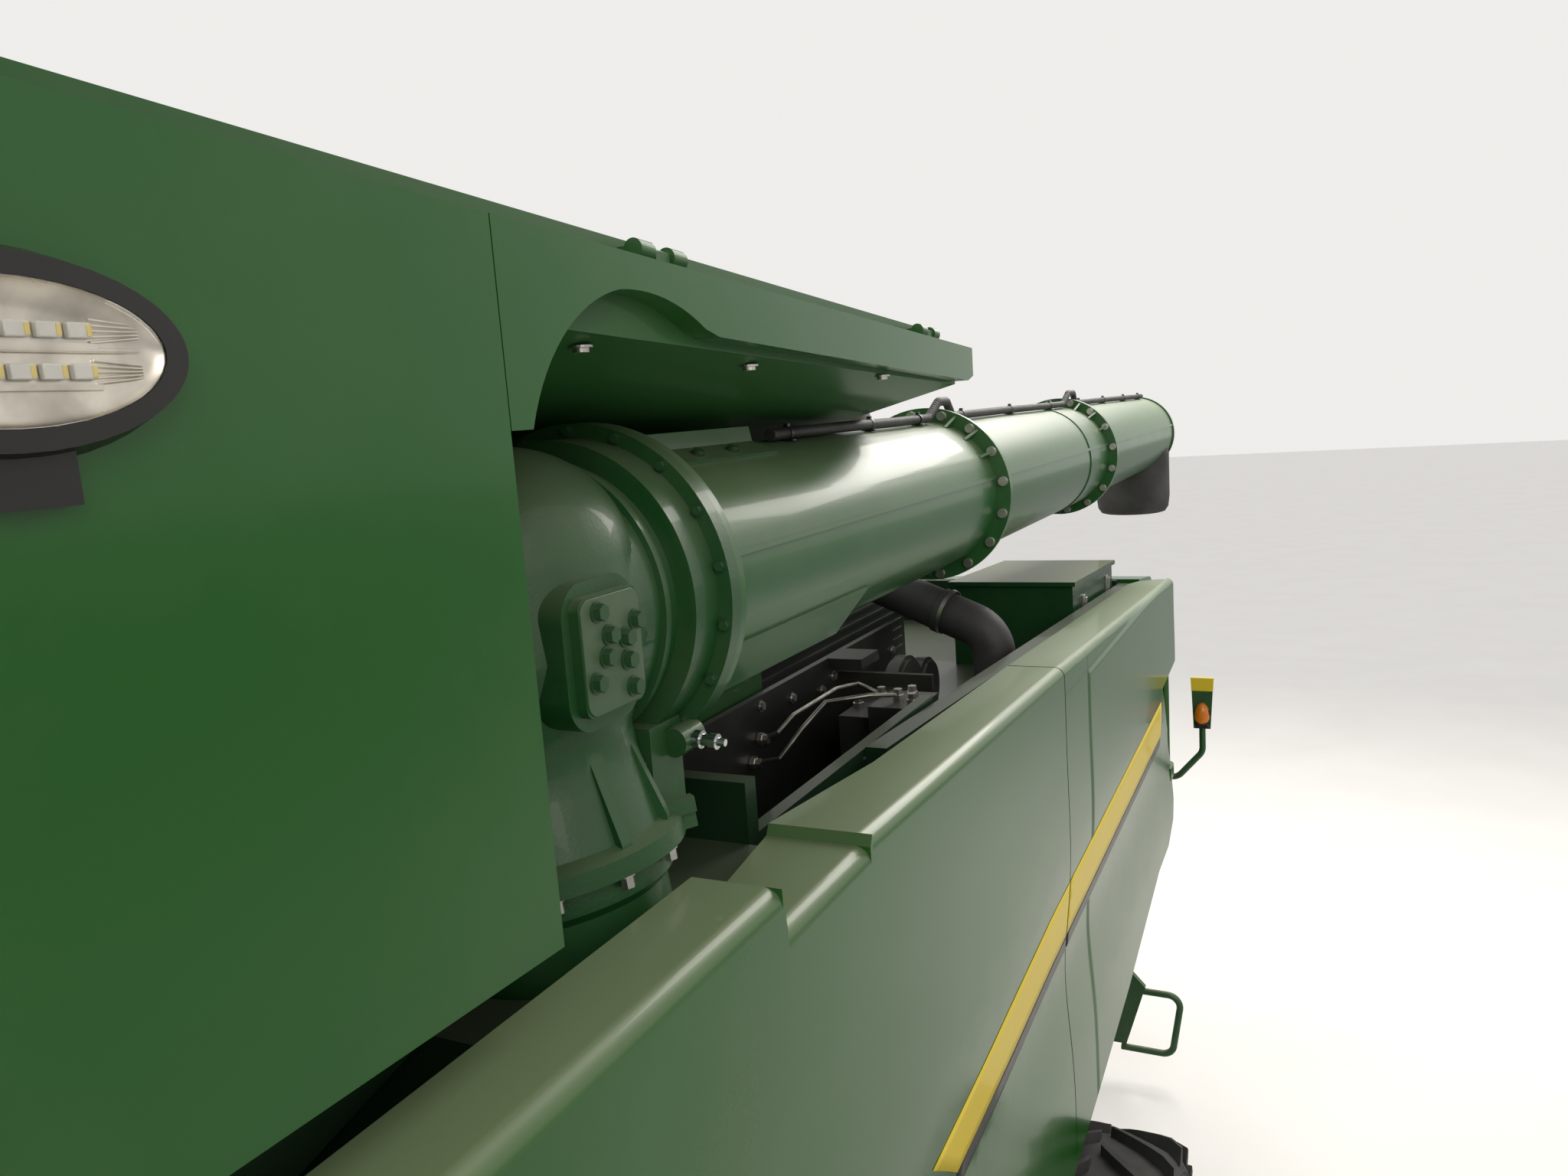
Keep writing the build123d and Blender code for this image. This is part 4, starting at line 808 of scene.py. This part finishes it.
# Grain tank: green sheet hopper under two ribbed lids on pin hinges; three
# screws hold the folded soffit over the auger's cradle.
tank_green = enamel("tank_green", (0.013, 0.092, 0.013), roughness=0.58, dust=0.35)
painted("grain_tank", tank_green)
for node in ("tank_lid_left", "tank_lid_right"):
    welded(node, tank_green)
soffit = [(spot, (0, 0, -1)) for spot in ((1.412, -1.272, 3.7345), (1.416, -0.814, 3.7135), (1.446, -0.282, 3.6945))]
bolts("soffit_screws", "chassis", round_bolts, soffit, zinc, head=0.011, height=0.006, washer=0.016)

# Work lamps on the side panels: black oval housings with a polished reflector
# and two rows of diodes behind a domed clear lens.
welded("tank_lamps", lamp_black)
LAMP_Y, LAMP_Z = -2.044, 3.704
lens_clear = steel("lens_clear", (0.86, 0.88, 0.90), roughness=0.08, metallic=0.65, brushed=0.05)
reflector = steel("reflector", (0.80, 0.74, 0.64), roughness=0.22, brushed=0.16)
diode_white = rubber("diode_white", (0.62, 0.60, 0.55), roughness=0.35, scale=90.0)
phosphor = rubber("phosphor", (0.70, 0.56, 0.18), roughness=0.40, scale=90.0)


def oval(shape, profile, side, long, high, inset=0.0):
    """Adds an oval dish in the lamp's mouth, from a profile of (x, part of its size)."""
    return ringed(shape, profile, lambda out, part, angle: (
        side * (out - inset), LAMP_Y + (long - inset) * part * cos(angle),
        LAMP_Z + (high - inset) * part * sin(angle)), 48)


bowls, diodes, chips, ridges, domes = [bmesh.new() for _ in range(5)]
for side in (-1, 1):
    oval(bowls, ((1.5145, 1.0), (1.5110, 0.97), (1.5070, 0.86), (1.5045, 0.60), (1.5040, 0.0)), side, 0.1115, 0.0495)
    for z in (3.7200, 3.6920):
        for y in [-2.104 + 0.021 * k for k in range(6)]:
            slab(diodes, (side * 1.5040, y, z - 0.0055), (side * 1.5105, y + 0.0165, z + 0.0055))
            slab(chips, (side * 1.5100, y + 0.0125, z - 0.0040), (side * 1.5112, y + 0.0160, z + 0.0040))
        slab(ridges, (side * 1.5040, -2.108, z - 0.0125), (side * 1.5075, -1.978, z - 0.0085))
        for rise in [-0.008 + 0.004 * k for k in range(5)]:
            swept(ridges, [
                (side * 1.5060, -1.982, z + rise), (side * 1.5085, -1.948, z + 0.55 * rise)], 0.0011, sides=6)
    swept(ridges, [(side * 1.5055, -2.140, 3.7065), (side * 1.5055, -1.945, 3.7065)], 0.0022, sides=8)
    skins = [oval(domes, ((1.5152, 1.0), (1.5178, 0.93), (1.5205, 0.75), (1.5222, 0.45), (1.5228, 0.0)),
                  side, 0.1125, 0.0505, inset) for inset in (0.0, 0.0016)]
    banded(domes, skins[0][0], skins[1][0])
made("lamp_reflectors", bowls, reflector, crease=60)
made("lamp_diodes", diodes, diode_white, bevel=0.0012)
made("lamp_chips", chips, phosphor, bevel=0.0003)
made("lamp_ridges", ridges, reflector)


def tinted(name, colour, index=1.45):
    """Tinted or clear transparent sheet."""
    glass, tree, body = finished(name)
    paler = [min(1, part * 1.12) for part in colour]
    feed(tree, body, {
        "Base Color": ramped(tree, mottled(tree, 3.0), colour, paler), "Roughness": 0.03, "IOR": index,
        "Transmission Weight": 1.0})
    return glass


made("lamp_lenses", domes, tinted("lens_plastic", (0.93, 0.93, 0.92), index=1.22), crease=60)


# Engine bay: a black engine block under its pipes, the air cleaner can, the
# exhaust stack, and the deck with a studded walkway, in painted-shade dark green.
def second_coat(piece, finish, chosen):
    """Gives the chosen faces of a piece a second finish."""
    piece.data.materials.append(finish)
    for face in piece.data.polygons:
        face.material_index = int(chosen(face.center))


engine_black = enamel("engine_black", (0.012, 0.013, 0.012), roughness=0.48, dust=0.26, peel=0.4)
# The deck's green is darkened to stand for the shade under the auger tube: painted shade.
bay_green = enamel("bay_green", (0.007, 0.026, 0.010), roughness=0.38, dust=0.40, peel=0.2, upward_share=0.6, patch=0.1)
painted("engine_block", engine_black)
painted("engine_deck", bay_green)
painted("air_box", enamel("box_green", (0.007, 0.052, 0.013), roughness=0.34, dust=0.85, upward_share=1.0, patch=0.10))
fittings = welded("engine_fittings", engine_black)
second_coat(fittings, steel("stack_steel", (0.40, 0.36, 0.33), roughness=0.42), lambda middle: middle.x < -0.2)
welded("intake_hose", rubber("hose_rubber", (0.018, 0.016, 0.015), roughness=0.6, scale=90.0), crease=50)


def stud_tree(name):
    """Raised studs spread over a rectangle."""
    tree, sockets, given = opened(name, (
        ("Length", "Float", 1.0), ("Width", "Float", 1.0), ("Rows", "Int", 10), ("Columns", "Int", 10),
        ("Stud Radius", "Float", 0.009), ("Stud Height", "Float", 0.003), ("Paint", "Material", None)))
    field = put(tree, "GeometryNodeMeshGrid", {
        "Size X": given["Length"], "Size Y": given["Width"],
        "Vertices X": given["Columns"], "Vertices Y": given["Rows"]})
    stud = put(tree, "GeometryNodeMeshCone", {
        "Vertices": 8, "Radius Top": worked(tree, "MULTIPLY", given["Stud Radius"], 0.6),
        "Radius Bottom": given["Stud Radius"], "Depth": given["Stud Height"]})
    closed(tree, field, stud, given["Paint"])
    return tree, sockets


studs = stud_tree("tread_studs")
by_tree("walkway_studs", "chassis", studs, {
    "Length": 0.60, "Width": 2.55, "Columns": 13, "Rows": 52, "Paint": bay_green}, (-0.96, 1.62, 2.5302))
valve_cover = bmesh.new()
for y in [0.88 + 0.205 * k for k in range(6)]:
    slab(valve_cover, (-0.20, y, 3.228), (0.20, y + 0.165, 3.262))
    swept(valve_cover, [(x, y + 0.083, z) for x, z in (
        (-0.16, 3.258), (-0.16, 3.290), (-0.36, 3.290), (-0.42, 3.180), (-0.42, 3.075))], 0.011)
made("valve_covers", valve_cover, engine_black, bevel=0.006)
for side, hand in HANDS:
    by_tree("engine_ribs_" + hand, "chassis", louvres, {
        "Count": 12, "Pitch": 0.040, "Length": 1.36, "Depth": 0.012, "Thickness": 0.010, "Slope": 0.0,
        "Paint": engine_black}, (side * 0.561, 1.425, 2.59), Matrix.Rotation(pi / 2, 4, "Z"))
CAN_X, CAN_Y = 0.470, 1.780
straps = bmesh.new()
for z in (3.39, 3.52):
    hoop(straps, (CAN_X, CAN_Y, z), (0, 0, 1), 0.1345, 0.1375, 0.022)
    slab(straps, (0.598, 1.768, z + 0.001), (0.618, 1.792, z + 0.021))
made("air_can_straps", straps, zinc, crease=40)
rain_cap = bmesh.new()
lathe(rain_cap, (CAN_X, CAN_Y, 3.648), (0, 0, 1), [
    (0, 0), (0, 0.090), (0.006, 0.098), (0.030, 0.094), (0.046, 0.070), (0.050, 0)], sides=40)
made("air_can_cap", rain_cap, lamp_black)
plate_bolts = [((0.9005, y, z), (1, 0, 0)) for y, z in (
    (0.106, 2.862), (0.502, 2.806), (0.942, 2.808), (1.100, 2.798),
    (0.589, 2.829), (0.299, 2.835), (-0.180, 2.850), (-0.480, 2.850))]
bolts("bay_plate_bolts", "chassis", round_bolts, plate_bolts, zinc, head=0.011, height=0.008, washer=0.016)
pipes = bmesh.new()
for route in (
    [(0.915, 0.080, 2.780), (0.960, 0.080, 2.800), (0.975, 0.150, 2.830), (0.985, 0.420, 2.835),
     (1.020, 0.500, 2.832), (1.080, 0.520, 2.800), (1.085, 0.520, 2.780)],
    [(0.915, 0.030, 2.730), (0.985, 0.030, 2.745), (1.010, 0.120, 2.800), (1.040, 0.220, 2.850),
     (1.150, 0.270, 2.862), (1.200, 0.330, 2.850), (1.205, 0.340, 2.828)],
    [(0.915, 0.700, 2.640), (1.090, 0.720, 2.690), (1.130, 0.800, 2.700), (1.140, 1.000, 2.640),
     (1.140, 1.080, 2.560)],
):
    eased = [Vector(near).lerp(Vector(far), t) for near, far in zip(route, route[1:]) for t in (0.0, 0.35, 0.65)]
    swept(pipes, eased + [Vector(route[-1])], 0.0062, sides=10)
made("bay_pipes", pipes, steel("pipe_zinc", (0.30, 0.29, 0.25), roughness=0.36))
unions = bmesh.new()
for spot, way in (
    ((1.085, 0.520, 2.790), (0, 0, 1)), ((1.205, 0.340, 2.835), (0, 0, 1)), ((1.232, 0.380, 2.835), (0, 0, 1)),
    ((1.260, 0.300, 2.835), (0, 0, 1)), ((1.060, 0.400, 2.790), (0, 0, 1)), ((0.902, 0.080, 2.780), (1, 0, 0)),
    ((0.902, 0.030, 2.730), (1, 0, 0)),
):
    lathe(unions, spot, way, [
        (0, 0), (0, 0.017), (0.014, 0.017), (0.015, 0.013), (0.030, 0.013), (0.031, 0)], sides=6)
made("bay_unions", unions, zinc)
latches = bmesh.new()
for y in (2.20, 2.72):
    slab(latches, (1.330, y, 2.700), (1.338, y + 0.040, 2.800))
    swept(latches, [(x, y + out, z) for x, out, z in (
        (1.341, 0.008, 2.712), (1.346, 0.008, 2.790), (1.346, 0.032, 2.790), (1.341, 0.032, 2.712))], 0.003, sides=8)
made("air_box_latches", latches, zinc, bevel=0.001)
clip = bmesh.new()
hoop(clip, (1.070, 1.2013, 2.9178), (0.930, -0.116, -0.349), 0.0775, 0.0800, 0.014)
made("hose_clip", clip, zinc)

# Marker lamps: a green plate with a yellow top band on a bent green arm, with
# an egg-shaped amber lens in a black base on each face.
MARKER_X, MARKER_Y, MARKER_Z = 1.690, 3.225, 2.036
markers = welded("marker_lamps", cast_green)
second_coat(markers, lamp_black, lambda middle: abs(middle.z - 2.040) < 0.040 and abs(middle.y - MARKER_Y) > 0.0085)
bands, eggs, bases = [bmesh.new() for _ in range(3)]
for side in (-1, 1):
    corners = []
    for z in (2.150, 2.2155):
        t = (z - 1.960) / 0.255
        inner, outer = 1.650 - 0.010 * t - 0.0012, 1.728 + 0.016 * t + 0.0012
        corners += [(side * x, MARKER_Y + y, z) for y in (-0.0092, 0.0092) for x in (inner, outer)]
    boxed(bands, corners)
    for way in (-1, 1):
        rings = ringed(eggs, (
            (0.008, 1.0), (0.020, 0.99), (0.032, 0.90), (0.041, 0.70), (0.046, 0.40), (0.048, 0.0),
        ), lambda out, part, angle: (
            side * (MARKER_X + 0.036 * (1.0 - 0.10 * sin(angle)) * part * cos(angle)),
            MARKER_Y + way * out, MARKER_Z + 0.056 * part * sin(angle)), 36)
        eggs.faces.new(rings[0])
        slab(bases, (side * MARKER_X - 0.030, MARKER_Y + way * 0.007, 1.968),
             (side * MARKER_X + 0.030, MARKER_Y + way * 0.040, 1.990))
made("marker_bases", bases, lamp_black, bevel=0.003)
made("marker_bands", bands, stripe_yellow, bevel=0.001)
made("marker_lenses", eggs, lens_amber)

# Cab: a green shell under a green roof visor, tinted panes in rubber gaskets,
# work lamps along the roof's front and mirrors on long arms.
painted("cab_shell", green)
painted("cab_door", frame_black)
welded("cab_roof", tank_green)
welded("mirrors", frame_black)
welded("steering_console", lamp_black)
cab_tint = tinted("cab_tint", (0.55, 0.66, 0.62))
painted("cab_glass", cab_tint)
painted("door_glass", cab_tint)
gasket = rubber("gasket_rubber", (0.011, 0.011, 0.011), roughness=0.62, scale=150.0)


def framed(name, corners, radius=0.011, body="chassis"):
    """A rubber bead round a pane, its corners rounded."""
    bead, line = bmesh.new(), []
    spots = [Vector(corner) for corner in corners]
    for k, corner in enumerate(spots):
        sides = (spots[k - 1], spots[(k + 1) % len(spots)])
        enter, leave = [corner + (far - corner).normalized() * 0.045 for far in sides]
        line += [enter.lerp(corner, t).lerp(corner.lerp(leave, t), t) for t in (0.0, 0.25, 0.5, 0.75, 1.0)]
    swept(bead, line, radius, sides=8, endless=True)
    made(name, bead, gasket, body=body)


framed("windshield_bead", [
    (-0.755, -3.9690, 2.236), (0.755, -3.9690, 2.236), (0.755, -4.0600, 2.648),
    (0.755, -3.9230, 3.554), (-0.755, -3.9230, 3.554), (-0.755, -4.0600, 2.648)])
framed("side_pane_bead", [
    (-0.880, y, z) for y, z in ((-2.764, 2.654), (-2.764, 3.556), (-3.736, 3.556), (-3.874, 2.654))])
framed("rear_pane_bead", [
    (x, -2.480, z) for x, z in ((-0.696, 2.904), (0.696, 2.904), (0.696, 3.556), (-0.696, 3.556))])
framed("door_pane_bead", [(0.880, y, z) for y, z in (
    (-2.854, 2.274), (-2.854, 3.516), (-3.526, 3.516), (-3.570, 2.650), (-3.526, 2.274),
)], radius=0.010, body="cab_door")
roof_lenses, roof_rims = bmesh.new(), bmesh.new()
ROOF_LAMP_Z = 3.762
for x in (-0.82, -0.64, 0.64, 0.82):
    lathe(roof_lenses, (x, -4.1962, ROOF_LAMP_Z), (0, -1, 0), [
        (0, 0.045), (0.004, 0.044), (0.010, 0.034), (0.013, 0.018), (0.014, 0)], sides=36)
    lathe(roof_rims, (x, -4.180, ROOF_LAMP_Z), (0, -1, 0), [
        (0, 0.0515), (0, 0.057), (0.020, 0.057), (0.022, 0.046), (0.015, 0.044)], sides=36)
made("roof_lamp_lenses", roof_lenses, lens_clear)
made("roof_lamp_rims", roof_rims, lamp_black)
faces = bmesh.new()
for side in (-1, 1):
    slab(faces, (side * 1.940, -4.1205, 3.175), (side * 2.130, -4.1175, 3.575))
mirror_glass = steel("mirror_glass", (0.82, 0.84, 0.86), roughness=0.02, brushed=0.01)
made("mirror_faces", faces, mirror_glass, bevel=0.0012)
wiper = bmesh.new()
swept(wiper, [
    (0.10, -3.986, 2.262), (0.10, -4.012, 2.330), (0.02, -4.086, 2.640), (-0.03, -4.064, 2.900)], 0.008, sides=8)
swept(wiper, [(0.26, -4.072, 2.700), (-0.03, -4.064, 2.900), (-0.30, -4.022, 3.090)], 0.007, sides=8)
lathe(wiper, (0.10, -3.975, 2.262), (0, -1, 0), [(0, 0.026), (0.020, 0.022), (0.026, 0)], sides=24)
made("wiper", wiper, lamp_black)
grips = bmesh.new()
for z in (3.05, 3.22):
    slab(grips, (0.878, -2.700, z), (0.930, -2.660, z + 0.020))
swept(grips, [(0.925, -2.680, 2.640), (0.925, -2.680, 3.260)], 0.014, sides=14)
for z in (2.62, 3.26):
    slab(grips, (0.878, -2.696, z), (0.930, -2.664, z + 0.022))
made("cab_grab_bar", grips, frame_black, bevel=0.003)


# Driver's seat: cushion and back in woven grey cloth over foam, with sewn
# channels, on a black bellows base; the steering wheel has a rubber grip.
def woven(name, colour):
    """Woven seat cloth: crossing threads, flecked colour and a soft sheen."""
    cloth, tree, body = finished(name)
    thread = {"Vector": put(tree, "ShaderNodeTexCoord").outputs["Object"], "Scale": 110.0, "Distortion": 0.6}
    warp, weft = [put(tree, "ShaderNodeTexWave", thread, bands_direction=way).outputs["Fac"] for way in "XY"]
    crossed = worked(tree, "MAXIMUM", warp, weft)
    bump = put(tree, "ShaderNodeBump", {"Height": crossed, "Strength": 0.5, "Distance": 0.0012})
    feed(tree, body, {
        "Base Color": ramped(tree, mottled(tree, 240.0), [part * 0.55 for part in colour], colour, 0.38, 0.60),
        "Roughness": 0.92, "Sheen Weight": 0.25, "Normal": bump})
    return cloth


def cushion(name, middle, half, tilt, channels, finish):
    """A crowned pad: pulled-in sides, a sewn edge and channels across it."""
    shape = bmesh.new()
    turn = Matrix.Rotation(radians(tilt), 3, "X")
    steps = [-1 + 2 * k / 44 for k in range(45)]
    for way in (1, -1):
        grid = []
        for across in steps:
            grid.append([])
            for down in steps:
                u = across * (1 - 0.05 * (1 - abs(down)) * abs(across))
                v = down * (1 - 0.04 * (1 - abs(across)) * abs(down))
                inside = max(abs(u), abs(v)) < 0.9999
                crown = (1 - abs(u) ** 5) ** 0.45 * (1 - abs(v) ** 5) ** 0.45 if inside else 0.0
                dip = sum(0.16 * max(0.0, 1 - abs(v - line) / 0.05) for line in channels) if way > 0 else 0.0
                height = way * half[2] * crown * (1 - dip)
                grid[-1].append(shape.verts.new(Vector(middle) + turn @ Vector((u * half[0], v * half[1], height))))
        netted(shape, grid, way > 0)
    bmesh.ops.remove_doubles(shape, verts=shape.verts, dist=1e-5)
    pad = made(name, shape, finish, crease=80)
    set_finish(pad, "seat_fabric")
    return pad


seat_cloth = woven("seat_cloth", (0.085, 0.088, 0.090))
seat_pad = cushion("seat_cushion", (0, -3.055, 2.500), (0.245, 0.225, 0.058), 2, (-0.45, 0.0, 0.45), seat_cloth)
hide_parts("cab_seat")
cushion("seat_back", (0, -2.842, 2.850), (0.240, 0.330, 0.052), 86, (-0.5, -0.1, 0.3), seat_cloth)
base = bmesh.new()
slab(base, (-0.235, -3.285, 2.395), (0.235, -2.830, 2.448))
for z in [2.352 - 0.040 * k for k in range(5)]:
    slab(base, (-0.170, -3.232, z), (0.170, -2.868, z + 0.022))
    slab(base, (-0.152, -3.212, z - 0.019), (0.152, -2.888, z + 0.002))
slab(base, (-0.180, -3.240, 2.161), (0.180, -2.860, 2.176))
slab(base, (-0.215, -2.815, 2.500), (0.215, -2.786, 3.150))
slab(base, (-0.150, -2.860, 2.440), (0.150, -2.800, 2.520))
made("seat_base", base, lamp_black, bevel=0.008)
GRIP_RADIUS = 0.186
grip, tilt = bmesh.new(), Matrix.Rotation(radians(-16), 3, "X")
turns = [2 * pi * k / 48 for k in range(48)]
rim_line = [tilt @ Vector((GRIP_RADIUS * cos(a), GRIP_RADIUS * sin(a), 0)) for a in turns]
swept(grip, [Vector((0, -3.550, 2.970)) + spot for spot in rim_line], 0.0155, sides=12, endless=True)
made("wheel_grip", grip, rubber("grip_rubber", (0.012, 0.012, 0.012), roughness=0.5, scale=200.0))

# Landing and ladders: black welded platforms and steps with studded treads
# under the cab door, where the ladder swings; the small rear ladder is green.
welded("landing", frame_black)
welded("ladder", frame_black)
welded("rear_ladder", cast_green)
by_tree("landing_studs", "chassis", studs, {
    "Length": 0.90, "Width": 1.08, "Columns": 19, "Rows": 22, "Paint": frame_black}, (1.385, -3.04, 2.1302))
STEP_RISE = 0.38
for step in range(5):
    by_tree(f"step_studs_{step + 1}", "ladder", studs, {
        "Length": 0.33, "Width": 0.09, "Columns": 9, "Rows": 3, "Paint": frame_black,
    }, (1.725, -3.81, 0.4502 + STEP_RISE * step))

# Finishes: each added piece takes its paint, metal, rubber or plastic from
# the record's slot of that kind.
finishes_of = {
    "green_paint": "panel_green shield_green rear_shield_green tube_green tank_green bay_green box_green",
    "cast_green": "cast_green green_bolt cover_green",
    "wheel_yellow": "wheel_yellow stripe_yellow",
    "tyre": "tyre_rubber",
    "black_paint": "frame_black engine_black line_black",
    "lamp_black": "lamp_black",
    "bare_steel": "zinc pipe_zinc stack_steel",
    "chrome_rod": "chrome_rod reflector",
    "glass": "mirror_glass lens_plastic lens_clear lens_red lens_amber",
    "black_rubber": "belt_rubber gasket_rubber grip_rubber hose_rubber boot_rubber",
    "black_plastic": "conduit_black tie_nylon",
}
slot_of = {finish: slot for slot, finishes in finishes_of.items() for finish in finishes.split()}
for piece in bpy.context.scene.objects:
    if piece.type != "MESH" or "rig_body" not in piece or "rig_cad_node" in piece or "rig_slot" in piece:
        continue
    finishes = [finish.name.split(".")[0] for finish in piece.data.materials if finish]
    if finishes and finishes[0] in slot_of:
        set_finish(piece, slot_of[finishes[0]])
